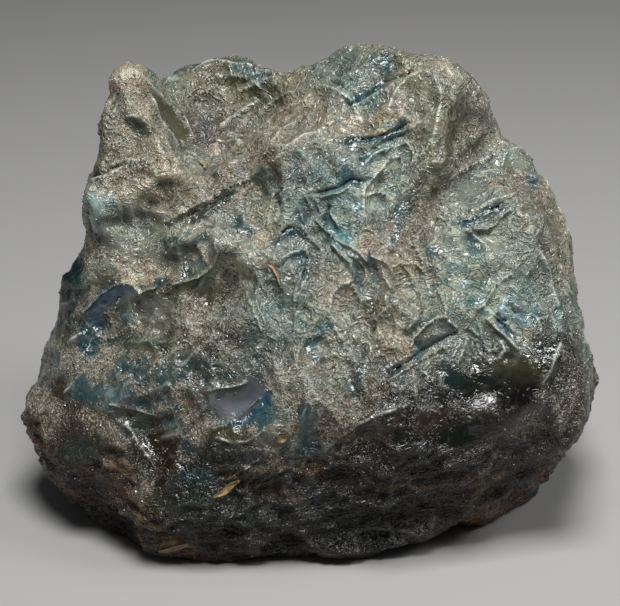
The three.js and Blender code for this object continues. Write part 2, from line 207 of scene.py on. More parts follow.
# %% Ridges of the crown, the knob and the shoulder
RIDGES += [
    ("crown plate edge", 1.3, 0.7, [(313, 88), (326, 87), (338, 91), (348, 97), (353, 104), (356, 114)]),
    ("crown plate crease", 1.2, -0.8, [(330, 80), (342, 86), (351, 93), (356, 101)]),
    ("crown foot", 1.1, 0.5, [(318, 130), (324, 139), (333, 141), (343, 142)]),
    ("crown strata 1", 1.2, 0.5, [(262, 112), (272, 102), (285, 95), (300, 90)]),
    ("crown strata 2", 1.2, 0.5, [(266, 126), (278, 114), (292, 106), (308, 101)]),
    ("crown strata 3", 1.2, 0.5, [(270, 142), (283, 129), (298, 120), (314, 114)]),
    ("crown strata 4", 1.2, 0.5, [(276, 158), (289, 145), (303, 137), (316, 133)]),
    ("knob seam", 1.6, -1.1,
     [(348, 105), (357, 102), (368, 94), (377, 88), (384, 81), (400, 77), (414, 70)]),
    ("knob seam lip", 1.0, 0.6, [(352, 108), (362, 103), (372, 97), (382, 90)]),
    ("oval rim", 1.6, 0.8,
     [(420, 71), (431, 73), (437, 80), (441, 94), (440, 107), (437, 120), (434, 134)]),
    ("oval rim left", 1.2, 0.5, [(388, 110), (392, 98), (398, 88), (408, 79), (418, 73)]),
    ("oval foot seam", 1.5, -1.0, [(344, 144), (352, 140), (366, 139), (384, 135), (400, 129), (409, 122)]),
    ("oval foot lip", 1.0, 0.6, [(410, 129), (417, 125), (427, 117)]),
    ("crescent lip", 1.0, 0.7, [(421, 156), (427, 148), (432, 140)]),
    ("band lip", 1.0, 0.7, [(366, 162), (374, 154), (384, 149), (395, 146), (406, 142)]),
    ("band crease", 1.3, -0.7, [(372, 150), (384, 143), (396, 138), (405, 134)]),
    ("shield left", 1.4, 0.9, [(362, 196), (364, 188), (375, 174), (387, 163), (395, 157), (401, 159)]),
    ("shield right", 1.1, 0.7, [(401, 159), (403, 166), (402, 173), (401, 184)]),
    ("shield foot left", 1.1, 0.6, [(362, 198), (362, 206), (364, 215), (366, 222)]),
    ("shield bar", 1.0, 0.5, [(366, 196), (374, 193), (382, 193), (388, 197)]),
    ("crescent line", 1.2, 1.0,
     [(409, 144), (414, 154), (414, 161), (410, 168), (406, 181), (402, 196), (391, 216)]),
    ("crescent line 2", 1.0, 0.6, [(418, 150), (416, 165), (411, 178), (406, 190), (399, 204)]),
    ("knob plate 1", 1.0, 0.5, [(456, 74), (462, 84), (464, 96), (463, 108)]),
    ("knob plate 2", 1.0, 0.5, [(471, 80), (476, 88), (475, 98), (471, 108)]),
    ("knob plate 3", 1.0, 0.5, [(446, 66), (453, 78), (455, 92), (452, 106)]),
    ("shoulder line 1", 1.0, 0.6, [(448, 178), (457, 172), (467, 166), (483, 160), (500, 152), (520, 150)]),
    ("shoulder line 2", 0.9, 0.5, [(478, 176), (487, 171), (498, 170)]),
    ("shoulder line 3", 0.9, 0.6, [(479, 197), (487, 194), (495, 189), (505, 187)]),
    ("shoulder crest", 1.3, 0.8,
     [(430, 233), (444, 226), (464, 214), (477, 210), (493, 201), (510, 196), (524, 194)]),
    ("shoulder cut", 1.3, -0.8, [(460, 222), (474, 218), (486, 211), (500, 206)]),
    ("fin", 1.2, 1.0, [(509, 209), (500, 216), (494, 225), (484, 230), (476, 229)]),
    ("fin foot", 1.0, 0.6, [(470, 232), (480, 240), (488, 249)]),
    ("shoulder comb 1", 0.8, 0.5, [(433, 222), (430, 230), (431, 236)]),
    ("shoulder comb 2", 0.8, 0.5, [(440, 218), (447, 222), (453, 230)]),
    ("edge bead", 1.2, 0.6, [(542, 178), (550, 192), (557, 206), (563, 222), (567, 238)]),
    ("edge bead 2", 0.9, 0.5, [(540, 250), (546, 262), (551, 275), (553, 290), (558, 306)]),
]

# %% Ridges of the middle
RIDGES += [
    ("spine left", 1.3, 0.8, [(268, 226), (270, 212), (274, 199), (280, 190)]),
    ("spine right", 1.1, 0.9, [(277, 222), (279, 213), (278, 206), (281, 197), (285, 190)]),
    ("small upright", 0.9, 0.7, [(303, 170), (305, 175), (307, 181)]),
    ("small blade", 1.1, 0.9, [(304, 195), (307, 200), (310, 207)]),
    ("small blade 2", 0.9, 0.6, [(313, 197), (316, 203), (320, 211)]),
    ("blue crevice", 1.5, -1.1, [(318, 193), (328, 190), (338, 188), (345, 183), (352, 179), (361, 181)]),
    ("blue crevice lip", 1.0, 0.6, [(321, 197), (331, 194), (341, 192), (348, 187)]),
    ("drop", 1.0, 0.8, [(298, 209), (301, 215), (302, 222)]),
    ("thorn", 1.0, 0.9, [(331, 211), (334, 218), (340, 227)]),
    ("thorn hollow", 1.6, -1.0, [(329, 206), (327, 214), (324, 221)]),
    ("long diagonal", 1.1, 0.9,
     [(316, 222), (327, 233), (338, 240), (344, 244), (352, 247), (360, 253), (367, 261)]),
    ("short diagonal", 1.1, 0.8, [(294, 229), (302, 235), (311, 242), (319, 249)]),
    ("short diagonal cut", 1.2, -0.8, [(282, 232), (291, 227), (300, 231), (306, 236)]),
    ("arch", 1.3, 0.8, [(278, 264), (284, 257), (292, 253), (300, 252), (309, 254), (320, 257)]),
    ("arch under", 1.4, -0.9, [(279, 268), (286, 261), (294, 257), (303, 257), (312, 259)]),
    ("bright upright", 1.6, 1.2, [(304, 259), (302, 270), (299, 280), (296, 290), (295, 300)]),
    ("bright upright 2", 0.9, 0.6, [(309, 260), (308, 274), (303, 285), (299, 294)]),
    ("bright upright foot", 1.0, 0.6, [(295, 300), (294, 312), (295, 322), (293, 332)]),
    ("swan", 1.9, 1.3, [(335, 247), (343, 256), (350, 263), (353, 272), (351, 280), (346, 284)]),
    ("ring left", 2.2, 1.3,
     [(340, 284), (333, 293), (329, 303), (328, 313), (331, 320), (338, 327), (345, 335)]),
    ("ring right", 1.8, 1.0, [(352, 287), (358, 294), (362, 302), (360, 310), (354, 316)]),
    ("wedge", 2.0, 1.1, [(330, 322), (336, 331), (342, 340), (346, 349)]),
    ("hook", 1.0, 0.7, [(361, 263), (366, 270), (366, 278), (362, 284)]),
    ("far hook", 1.0, 0.7, [(372, 256), (381, 261), (388, 267), (391, 272)]),
    ("far hook 2", 0.9, 0.7, [(382, 268), (384, 278), (390, 288)]),
    ("far line", 1.0, 0.8, [(386, 297), (387, 307), (382, 314), (376, 320)]),
    ("comb line", 0.9, 0.5, [(251, 231), (256, 236)]),
    ("grey stripe 1", 1.2, 0.5, [(247, 292), (250, 303), (256, 316), (262, 330)]),
    ("grey stripe 2", 1.0, 0.5, [(256, 300), (260, 312), (265, 324)]),
]

# %% Ridges of the right-hand fan
RIDGES += [
    ("olive line", 1.1, 0.9,
     [(399, 263), (408, 275), (412, 285), (421, 298), (422, 311), (417, 320), (407, 329)]),
    ("olive line 2", 0.9, 0.6, [(400, 250), (407, 258), (416, 264), (423, 272)]),
    ("bright chips", 1.0, 0.8, [(408, 241), (413, 247), (418, 254), (422, 262)]),
    ("white comb", 1.2, 0.9, [(440, 294), (443, 301), (446, 309), (445, 317)]),
    ("white line", 1.0, 0.9, [(446, 317), (434, 319), (423, 327), (413, 337), (410, 346)]),
    ("white knot", 1.4, 0.8, [(449, 321), (456, 327), (452, 333)]),
    ("broken ridge", 1.3, 1.0, [(510, 274), (502, 280), (495, 286), (491, 295), (486, 303), (478, 309)]),
    ("thin split", 1.0, -0.7, [(487, 304), (496, 313), (506, 322)]),
    ("scaly ridge", 1.4, 1.1, [(488, 319), (499, 330), (508, 338), (513, 344), (518, 350)]),
    ("scaly ridge cut", 1.6, -0.9, [(493, 316), (503, 325), (511, 333)]),
    ("short bright", 1.0, 0.8, [(480, 326), (482, 332), (482, 338)]),
    ("join", 0.9, 0.6, [(466, 327), (473, 331), (480, 337)]),
    ("fold 1", 1.1, 0.7, [(467, 339), (463, 351), (457, 364)]),
    ("fold 2", 1.0, 0.6, [(460, 341), (455, 352), (449, 362)]),
    ("fold loop", 1.1, 0.7, [(477, 340), (479, 352), (487, 361), (499, 358), (505, 350), (502, 342)]),
    ("fold loop inner", 0.9, 0.5, [(485, 342), (487, 350), (494, 350), (497, 344)]),
    ("panel edge", 1.1, 0.8, [(511, 303), (519, 309), (529, 314), (538, 320), (547, 317)]),
    ("panel edge cut", 1.2, -0.8, [(507, 305), (515, 312), (526, 318), (534, 323)]),
    ("panel beads", 1.1, 0.7, [(536, 321), (540, 327), (540, 334)]),
    ("violet strip", 2.0, -1.1, [(456, 332), (446, 338), (436, 343), (422, 352), (408, 362), (390, 372)]),
    ("violet strip lip", 1.1, 0.6, [(388, 381), (402, 372), (418, 362), (434, 353), (448, 346)]),
    ("brow lip", 1.4, 0.6, [(340, 437), (356, 425), (372, 417), (390, 411), (406, 405)]),
    ("corner line", 1.2, 0.6, [(559, 345), (554, 358), (550, 371), (542, 383)]),
]

# %% Ridges of the ledge and the left side
RIDGES += [
    ("long crease lip", 1.2, 0.9,
     [(166, 222), (176, 217), (190, 209), (205, 201), (220, 193), (234, 186), (250, 180)]),
    ("long crease", 1.6, -1.1, [(168, 227), (180, 220), (193, 213), (207, 206), (222, 198), (236, 192)]),
    ("inner lip", 1.2, 0.9, [(190, 233), (197, 227), (203, 219), (213, 210), (222, 205)]),
    ("ledge rim 1", 1.4, 1.1,
     [(84, 312), (92, 302), (103, 291), (114, 284), (123, 281), (134, 284), (142, 291)]),
    ("ledge rim 2", 1.3, 1.0, [(142, 291), (150, 288), (163, 285), (175, 284), (187, 281), (198, 277)]),
    ("ledge rim 3", 1.2, 0.9, [(198, 277), (207, 270), (214, 263), (218, 252), (216, 240)]),
    ("slit", 1.3, -1.0, [(156, 288), (164, 285), (172, 284)]),
    ("window bridge", 1.1, 0.8, [(112, 322), (114, 312), (118, 305), (121, 298)]),
    ("window foot", 1.1, 0.8, [(99, 335), (107, 340), (115, 338), (123, 332), (131, 325)]),
    ("lens-shaped lump", 1.8, 1.2, [(70, 343), (76, 338), (81, 334)]),
    ("lens lip", 1.1, 0.9, [(208, 391), (220, 388), (234, 386), (246, 382)]),
    ("lens foot", 1.0, 1.0, [(214, 429), (228, 426), (240, 420), (251, 410), (260, 400)]),
    ("band foot", 1.2, 0.7, [(218, 438), (232, 442), (246, 441), (256, 436), (264, 430)]),
    ("left crust edge", 1.2, 0.7, [(66, 392), (74, 383), (83, 374), (93, 362)]),
    ("low lip 1", 1.2, 0.7, [(112, 404), (124, 407), (140, 410), (156, 414)]),
    ("low lip 2", 1.1, 0.6, [(120, 420), (132, 432), (140, 446), (150, 458)]),
    ("scratch 1", 0.8, 0.4, [(240, 492), (254, 478), (268, 466)]),
    ("scratch 2", 0.8, 0.4, [(250, 496), (266, 480), (282, 468)]),
    ("scratch 3", 0.8, 0.4, [(228, 478), (244, 468), (260, 458)]),
]
paths = {name: path(seen) for name, _, _, seen in RIDGES}
print(len(RIDGES), "ridges and creases laid on the stone")

# %% [markdown]
# ## Finer facets under the ridges
# A ridge a millimetre wide needs facets of less than half of that. Only the edges beside a ridge are
# cut once more, so that the skin stays under 200,000 triangles. Points that lie almost on a ridge's
# line are later drawn on to it, or the crest would zigzag from facet to facet.

# %% Finer facets
points = np.array([v.co for v in shape.verts]) / MM
beside = np.zeros(len(points), bool)
for name, width, _, _ in RIDGES:
    beside |= away(points, paths[name], 4.0) < width * 0.9
to_cut = [e for e in shape.edges if beside[e.verts[0].index] and beside[e.verts[1].index]]
bmesh.ops.subdivide_edges(shape, edges=to_cut, cuts=1, use_grid_fill=True, smooth=0.7)
bmesh.ops.triangulate(shape, faces=[f for f in shape.faces if len(f.verts) > 3])
shape.normal_update()
skin_mesh = bpy.data.meshes.new("stone_skin")
shape.to_mesh(skin_mesh)
shape.free()
skin = bpy.data.objects.new("stone_skin", skin_mesh)
bpy.context.scene.collection.objects.link(skin)
skin_mesh.polygons.foreach_set("use_smooth", [True] * len(skin_mesh.polygons))
print("skin", len(skin_mesh.polygons), "faces")


def places():
    """The skin's points in millimetres."""
    found = np.empty(len(skin_mesh.vertices) * 3, np.float32)
    skin_mesh.vertices.foreach_get("co", found)
    return found.reshape(-1, 3).astype(float) / MM


def facings():
    """The skin's directions, one for each point."""
    found = np.empty(len(skin_mesh.vertices) * 3, np.float32)
    skin_mesh.vertex_normals.foreach_get("vector", found)
    return found.reshape(-1, 3).astype(float)


def lay(points):
    """Moves the skin's points, in millimetres, and keeps the foot on the floor."""
    points[:, 2] = np.maximum(points[:, 2], 0)
    skin_mesh.vertices.foreach_set("co", (points * MM).astype(np.float32).ravel())
    skin_mesh.update()


ENDS = np.empty(len(skin_mesh.edges) * 2, np.int32)
skin_mesh.edges.foreach_get("vertices", ENDS)
ENDS = ENDS.reshape(-1, 2)
NEIGHBOURS = np.bincount(ENDS.ravel(), minlength=len(skin_mesh.vertices))


def softened(values, rounds):
    """Each point's value averaged with its neighbours', again and again."""
    kept = np.array(values, float)
    flat = kept.reshape(len(kept), -1)
    for _ in range(rounds):
        for k in range(flat.shape[1]):
            near = np.bincount(ENDS[:, 0], flat[ENDS[:, 1], k], len(flat))
            near += np.bincount(ENDS[:, 1], flat[ENDS[:, 0], k], len(flat))
            flat[:, k] = 0.5 * flat[:, k] + 0.5 * near / NEIGHBOURS
    return kept


# %% Points drawn on to a ridge
SNAP = 0.32  # millimetres within which points are drawn sideways on to a ridge's line


def drawn_to(points, stroke, reach):
    """Small moves that bring the points closest to a stroke on to it."""
    moves = np.zeros_like(points)
    low, high = stroke.min(0) - reach, stroke.max(0) + reach
    near = np.flatnonzero(((points > low) & (points < high)).all(1))
    best = np.full(len(near), reach)
    for a, b in zip(stroke[:-1], stroke[1:]):
        line = b - a
        t = np.clip((points[near] - a) @ line / max(line @ line, 1e-9), 0, 1)
        to_line = a + t[:, None] * line - points[near]
        far = np.linalg.norm(to_line, axis=1)
        closer = far < best
        moves[near[closer]] = to_line[closer]
        best[closer] = far[closer]
    return moves


# %% [markdown]
# ## Noises that shape a mineral
# Two kinds are enough. A cloud is soft and lumpy. Scallops are shallow bowls that meet in sharp edges,
# as where acid water has eaten into a crystal face. The places are bent by another cloud first, so
# that nothing looks like a grid.


# %% Noises
noise.seed_set(3)  # the same bends in every run


def cloud(points, size, octaves=3, seed=0.0):
    """Soft noise from about -1 to 1, with lumps of a size in millimetres."""
    near = points / size + np.array([seed * 17.3, seed * 5.1, seed * 9.7])
    return np.array([noise.fractal(p, 0.9, 2.0, octaves) for p in near.tolist()])


def bent(points, size, reach, seed=0.0):
    """Points pushed about by a cloud, by up to the reach in millimetres."""
    near = points / size + np.array([seed * 3.7, seed * 11.9, seed * 1.3])
    return points + reach * np.array([noise.noise_vector(p) for p in near.tolist()])


def scallops(points, size):
    """Shallow bowls: 0 on the sharp edges between them, towards 1 in their middles."""
    apart = [noise.voronoi(p)[0] for p in (points / size).tolist()]
    return np.array([d[1] - d[0] for d in apart])


def step(low, high, value):
    """Rises smoothly from 0 at low to 1 at high."""
    t = np.clip((value - low) / (high - low), 0, 1)
    return t * t * (3 - 2 * t)


# %% [markdown]
# ## Crust and glass
# The stone is glass-like inside and has a thin sugary crust outside. Where the crust has come away, or
# never grew, a smooth window shows the deep blue, teal or green below. So two colours are kept for each
# point, one for the crust and one for the glass, and a third value says how bare the place is.
# Broad washes of colour come first and the windows after them. Colour could be painted by hand on a
# picture, but strokes laid on the stone are sharp at any distance and need no unwrapping.

# %% Tones
TONES = {
    "tan": (132, 122, 102), "sand": (144, 134, 114), "grey": (118, 120, 108), "slate": (104, 122, 116),
    "olive": (106, 104, 82), "pink": (130, 121, 107), "brown": (64, 50, 34), "rust": (78, 56, 42),
    # The near-black tone is partly the foot's own dark layers and partly painted shade under the brow and
    # at the foot.
    "plum": (96, 86, 80), "soot": (22, 17, 10), "lapis": (26, 64, 88), "ink": (21, 55, 68),
    "petrol": (27, 62, 70), "teal": (44, 88, 94), "bottle": (38, 54, 46), "moss": (78, 78, 58),
    "mist": (108, 114, 106), "sky": (122, 148, 144), "ice": (128, 138, 126), "steel": (70, 98, 106),
    "umber": (42, 30, 18), "clay": (140, 127, 110), "violet": (84, 90, 98), "reed": (122, 122, 104),
    "rind": (150, 138, 118),
}


def linear(tone):
    """A tone's colour as light, from its screen value."""
    return (np.array(TONES[tone]) / 255) ** 2.2


P = places()
WAVY = bent(P, 6.0, 2.2, 1) + 0.8 * (bent(P, 2.2, 1.0, 2) - P)
crust = np.tile(linear("grey"), (len(P), 1))
glass = np.tile(linear("petrol"), (len(P), 1))
bare = np.zeros(len(P))
sugar = np.zeros(len(P))


def wash(colours, tone, reach, seen, strength=1.0):
    """Lays a tone softly around places in the frame, out to a reach in millimetres."""
    near = strength * step(reach, reach * 0.35, away(WAVY, path(seen), reach))
    colours += near[:, None] * (linear(tone) - colours)


def window(tone, reach, seen, depth=1.0):
    """Bares the glass, in a tone, within a reach of places in the frame."""
    far = away(WAVY, path(seen), reach + 2.5)
    near = np.clip(1.35 - far / (reach + 1.0), 0, 1)
    around = step(reach + 2.5, reach * 0.6, far)
    glass[:] += around[:, None] * (linear(tone) - glass)
    bare[:] = np.maximum(bare, depth * near)


def soft_mask(values, level, reach, seen):
    """Moves a mask towards a level around places in the frame."""
    near = step(reach, reach * 0.3, away(WAVY, path(seen), reach))
    values[:] += near * (level - values)


def strokes(groups):
    """All strokes of a table, in the order in which they are laid."""
    return [stroke for group in groups.values() for stroke in group]


# %% Broad tones of every side
height = P[:, 2]
warm = cloud(P, 26, 3, 3)
cool = cloud(P, 34, 3, 4)
crust += step(0.0, 0.5, warm)[:, None] * 0.8 * (linear("tan") - crust)
crust += step(0.0, 0.5, cool)[:, None] * 0.8 * (linear("slate") - crust)
crust += step(0.05, 0.5, cloud(P, 18, 3, 5))[:, None] * 0.6 * (linear("olive") - crust)
# Darker and browner towards the foot: partly the stone's own brown crust, partly painted shade where the
# light from above doesn't fall.
low = step(46, 26, height + 9 * cloud(P, 30, 3, 6))
crust += low[:, None] * (linear("umber") * 0.5 + linear("brown") * 0.5 - crust)
crust += (low * step(0.0, 0.4, cloud(P, 12, 3, 7)))[:, None] * (linear("soot") - crust)
crust += (low * step(0.1, 0.4, cloud(P, 16, 3, 8)))[:, None] * 0.45 * (linear("rust") - crust)
for tone, size, seed in (("bottle", 22, 9), ("teal", 17, 10), ("steel", 24, 11), ("petrol", 20, 12)):
    glass += step(0.05, 0.35, cloud(P, size, 3, seed))[:, None] * (linear(tone) - glass)
glass += (low * step(-0.3, 0.2, cloud(P, 19, 3, 13)))[:, None] * (linear("umber") * 0.6 - glass)
to_front = step(-0.1, 0.3, facings() @ np.array([0, -math.cos(LOOKING_DOWN), math.sin(LOOKING_DOWN)]))
bare[:] = step(0.05, 0.4, cloud(WAVY, 9, 3, 14)) * (0.7 - 0.45 * to_front) + 0.2
sugar[:] = 0.45 + 0.4 * step(-0.1, 0.3, cloud(P, 15, 3, 15)) * (1 - to_front) - 0.25 * to_front
print("brown foot", round(float(low.mean()), 2), "of the points")

# %% How bare each stretch of the front is
STRETCHES = {
    "horn, bowl and crown": [
        (0.05, 13, [(128, 95), (135, 150)]), (0.05, 16, [(215, 110), (215, 150)]),
        (0.1, 18, [(290, 100), (335, 110)]),
    ],
    "knob and valley": [
        (0.3, 14, [(365, 80), (375, 105)]), (0.2, 12, [(420, 100), (450, 110)]),
        (0.3, 16, [(380, 170), (375, 215)]), (0.15, 12, [(470, 145), (430, 195)]),
    ],
    "shoulder": [
        (0.3, 14, [(470, 185), (510, 170)]), (0.25, 14, [(470, 235), (530, 230)]),
    ],
    "middle": [
        (0.42, 20, [(320, 190), (345, 235)]), (0.4, 18, [(300, 260), (310, 330)]),
        (0.25, 14, [(345, 270), (345, 330)]),
    ],
    "fan": [
        (0.2, 14, [(400, 270), (400, 320)]), (0.38, 20, [(460, 290), (480, 345)]),
        (0.42, 14, [(520, 300), (530, 330)]),
    ],
    "left side": [
        (0.3, 16, [(240, 220), (250, 260)]), (0.35, 16, [(240, 310), (260, 350)]),
        (0.2, 12, [(180, 310), (200, 345)]), (0.45, 16, [(150, 330), (140, 370)]),
        (0.5, 14, [(70, 290), (75, 340)]), (0.5, 18, [(150, 385), (200, 375)]),
    ],
    "lower part": [
        (0.55, 18, [(80, 470), (110, 440)]), (0.5, 20, [(210, 500), (180, 460)]),
        (0.48, 22, [(330, 490), (450, 460)]), (0.45, 16, [(460, 370), (530, 365)]),
        (0.15, 14, [(560, 380), (570, 410)]), (0.15, 12, [(350, 390), (330, 420)]),
    ],
}
for level, reach, seen in strokes(STRETCHES):
    soft_mask(bare, level, reach, seen)
print(len(strokes(STRETCHES)), "stretches; bare part", round(float(bare.mean()), 2))

# %% Tones of the front
WASHES = {
    "horn": [
        ("sand", 13, [(128, 88), (128, 104)]), ("sand", 13, [(130, 125), (140, 150)]),
        ("olive", 9, [(99, 125), (97, 155)]), ("olive", 8, [(162, 110), (180, 134)]),
        ("tan", 12, [(120, 170), (150, 180)]),
    ],
    "bowl, hump and crown": [
        ("olive", 9, [(185, 95), (240, 98)]), ("tan", 9, [(210, 84), (240, 88)]),
        ("plum", 9, [(195, 130), (212, 128)]), ("plum", 6, [(232, 120), (236, 134)]),
        ("clay", 8, [(222, 150), (234, 148)]), ("pink", 9, [(218, 168), (240, 172)]),
        ("pink", 12, [(258, 110), (262, 150)]), ("sand", 12, [(290, 105), (318, 88)]),
        ("sand", 10, [(330, 96), (338, 118)]), ("pink", 9, [(285, 150), (300, 140)]),
        ("olive", 10, [(205, 72), (270, 84)]), ("steel", 4, [(236, 68), (262, 74)]),
    ],
    "left side": [
        ("tan", 10, [(190, 185), (160, 200)]), ("pink", 6, [(228, 192), (246, 184)]),
        ("pink", 9, [(88, 240), (94, 256)]), ("grey", 12, [(115, 250), (150, 225)]),
        ("tan", 6, [(128, 272), (150, 268), (200, 262)]),
        ("tan", 6, [(92, 302), (118, 283), (142, 291), (190, 281)]),
    ],
    "middle": [
        ("grey", 14, [(250, 215), (240, 260)]), ("sand", 8, [(262, 195), (275, 240)]),
        ("slate", 20, [(320, 200), (340, 235)]), ("slate", 14, [(310, 270), (300, 300)]),
        ("ice", 12, [(330, 300), (350, 320)]), ("sand", 6, [(338, 284), (336, 300)]),
    ],
    "knob": [
        ("slate", 12, [(330, 65), (350, 75)]), ("reed", 12, [(405, 100), (415, 85)]),
        ("tan", 8, [(395, 118), (380, 124)]), ("reed", 10, [(445, 75), (455, 130)]),
        ("pink", 5, [(440, 62), (452, 70)]),
    ],
    "valley": [
        ("reed", 12, [(455, 130), (420, 200)]), ("ice", 12, [(382, 170), (374, 205)]),
        ("tan", 8, [(490, 142), (455, 160), (430, 195)]), ("clay", 7, [(375, 243), (400, 238)]),
    ],
    "shoulder": [
        ("ice", 12, [(450, 180), (500, 165)]), ("ice", 10, [(480, 200), (520, 170)]),
        ("sand", 8, [(512, 182), (530, 190)]), ("sand", 8, [(560, 215), (562, 250)]),
        ("ice", 14, [(470, 240), (500, 240)]),
    ],
    "fan": [
        ("sand", 12, [(400, 285), (395, 315)]), ("tan", 8, [(390, 340), (380, 330)]),
        ("ice", 17, [(450, 300), (500, 290)]), ("ice", 13, [(480, 345), (530, 320)]),
        ("sand", 8, [(380, 260), (420, 245)]),
    ],
    "below the middle": [
        ("grey", 14, [(345, 360), (330, 400)]), ("tan", 9, [(180, 310), (200, 330)]),
        ("tan", 8, [(190, 350), (220, 340)]), ("slate", 12, [(240, 320), (265, 350)]),
        ("grey", 10, [(280, 385), (310, 400)]), ("tan", 8, [(375, 395), (340, 425)]),
    ],
    "lower left": [
        ("plum", 10, [(40, 400), (45, 440)]), ("brown", 12, [(50, 450), (80, 430)]),
        ("plum", 8, [(110, 465), (135, 480)]), ("brown", 14, [(110, 440), (150, 500)]),
        ("grey", 9, [(80, 365), (95, 350)]), ("plum", 12, [(140, 395), (180, 400)]),
    ],
    "right corner and foot": [
        # Near-black washes at the foot and under the brow are partly painted shade.
        ("soot", 16, [(200, 520), (270, 540)]), ("umber", 14, [(560, 350), (570, 410)]),
        ("plum", 7, [(560, 380), (575, 410)]), ("brown", 12, [(540, 420), (560, 440)]),
        ("soot", 28, [(340, 490), (380, 470), (480, 450)]),
        ("soot", 20, [(420, 500), (500, 470), (540, 440)]),
        ("brown", 7, [(350, 436), (420, 420), (500, 410)]), ("rust", 5, [(396, 430), (436, 420)]),
        ("rust", 6, [(330, 470), (345, 462)]), ("brown", 8, [(430, 500), (490, 480)]),
        ("soot", 18, [(300, 520), (380, 520)]), ("umber", 12, [(240, 460), (300, 480)]),
    ],
}
for tone, reach, seen in strokes(WASHES):
    wash(crust, tone, reach, seen, 0.85)

GLASS_WASHES = {
    "horn, bowl and crown": [
        ("moss", 14, [(130, 110), (150, 170)]), ("moss", 16, [(220, 100), (250, 150)]),
        ("moss", 16, [(290, 110), (320, 130)]),
    ],
    "knob and valley": [
        ("teal", 14, [(360, 85), (380, 110)]), ("teal", 16, [(370, 160), (380, 210)]),
        ("moss", 12, [(450, 110), (430, 180)]),
    ],
    "shoulder": [
        ("steel", 16, [(470, 190), (510, 180)]),
    ],
    "middle": [
        ("petrol", 22, [(310, 200), (350, 235)]), ("petrol", 18, [(300, 260), (320, 330)]),
        ("petrol", 18, [(240, 220), (240, 270)]),
    ],
    "fan": [
        ("teal", 18, [(450, 290), (520, 330)]), ("bottle", 16, [(400, 280), (390, 320)]),
    ],
    "left side": [
        ("petrol", 18, [(80, 270), (70, 340)]), ("bottle", 16, [(150, 330), (190, 290)]),
        ("petrol", 18, [(140, 370), (230, 380)]),
    ],
    "lower part": [
        ("bottle", 16, [(230, 470), (300, 440)]), ("umber", 16, [(70, 460), (110, 490)]),
        ("bottle", 18, [(470, 375), (540, 370)]), ("umber", 24, [(330, 490), (460, 460)]),
        ("bottle", 14, [(330, 520), (400, 520)]), ("ink", 8, [(300, 440), (320, 430)]),
    ],
}
for tone, reach, seen in strokes(GLASS_WASHES):
    wash(glass, tone, reach, seen, 0.9)
print(len(strokes(WASHES)), "washes of crust and", len(strokes(GLASS_WASHES)), "of glass")

# %% Where the sugar lies
STRANDS = {
    "horn": [
        (0.7, 9, [(122, 92), (128, 110)]), (0.9, 7, [(112, 150), (135, 156), (120, 175)]),
        (0.6, 6, [(200, 175), (165, 200)]),
    ],
    "left side": [
        (0.8, 6, [(84, 245), (96, 255)]), (1.0, 3, [(84, 312), (103, 291), (123, 281), (142, 291)]),
        (1.0, 3, [(142, 291), (163, 286), (190, 281), (207, 270), (218, 250)]),
        (0.7, 8, [(180, 300), (200, 340), (222, 345)]),
        (0.8, 5, [(66, 360), (80, 372), (104, 356), (128, 362)]),
    ],
    "lower left": [
        (1.0, 7, [(30, 400), (44, 420), (60, 398)]), (0.9, 5, [(90, 420), (120, 440), (110, 462)]),
        (1.0, 6, [(115, 462), (140, 480), (130, 500)]), (0.8, 4, [(180, 395), (205, 430), (190, 450)]),
    ],
    "lower middle": [
        (0.9, 4, [(262, 385), (290, 400), (330, 396), (352, 412)]),
        (0.8, 4, [(290, 405), (296, 430), (310, 470)]), (0.9, 5, [(372, 392), (350, 418), (330, 432)]),
    ],
    "brow and foot": [
        (1.0, 6, [(556, 360), (574, 384), (566, 420)]), (0.8, 5, [(540, 400), (520, 430), (552, 440)]),
        (0.3, 4, [(350, 440), (410, 424), (470, 408), (530, 402)]),
        (0.6, 4, [(420, 470), (470, 455), (520, 450)]), (0.7, 4, [(360, 480), (420, 492), (480, 478)]),
    ],
    "upper part": [
        (0.8, 5, [(200, 210), (226, 196), (250, 184)]), (0.7, 5, [(300, 140), (270, 150), (256, 130)]),
        (0.8, 4, [(440, 62), (470, 84), (488, 110)]),
        (0.9, 5, [(490, 140), (460, 158), (436, 190), (420, 222)]),
        (0.8, 5, [(372, 244), (400, 238), (424, 226)]), (0.7, 4, [(545, 190), (562, 226), (568, 262)]),
    ],
    "middle": [
        (0.6, 6, [(330, 262), (322, 290), (338, 300)]), (0.7, 4, [(270, 360), (300, 372), (330, 366)]),
        (0.6, 5, [(228, 268), (236, 300), (230, 330)]),
    ],
    "foot": [
        (0.9, 4, [(186, 548), (150, 530), (120, 506)]), (0.5, 6, [(240, 440), (266, 470), (300, 500)]),
    ],
}
for level, reach, seen in strokes(STRANDS):
    soft_mask(sugar, level, reach, seen)
    soft_mask(bare, 0.0, reach * 0.8, seen)
    wash(crust, "rind", reach * 0.9, seen, 0.3 * level)
print(len(strokes(STRANDS)), "strands; sugary part", round(float(sugar.mean()), 2))

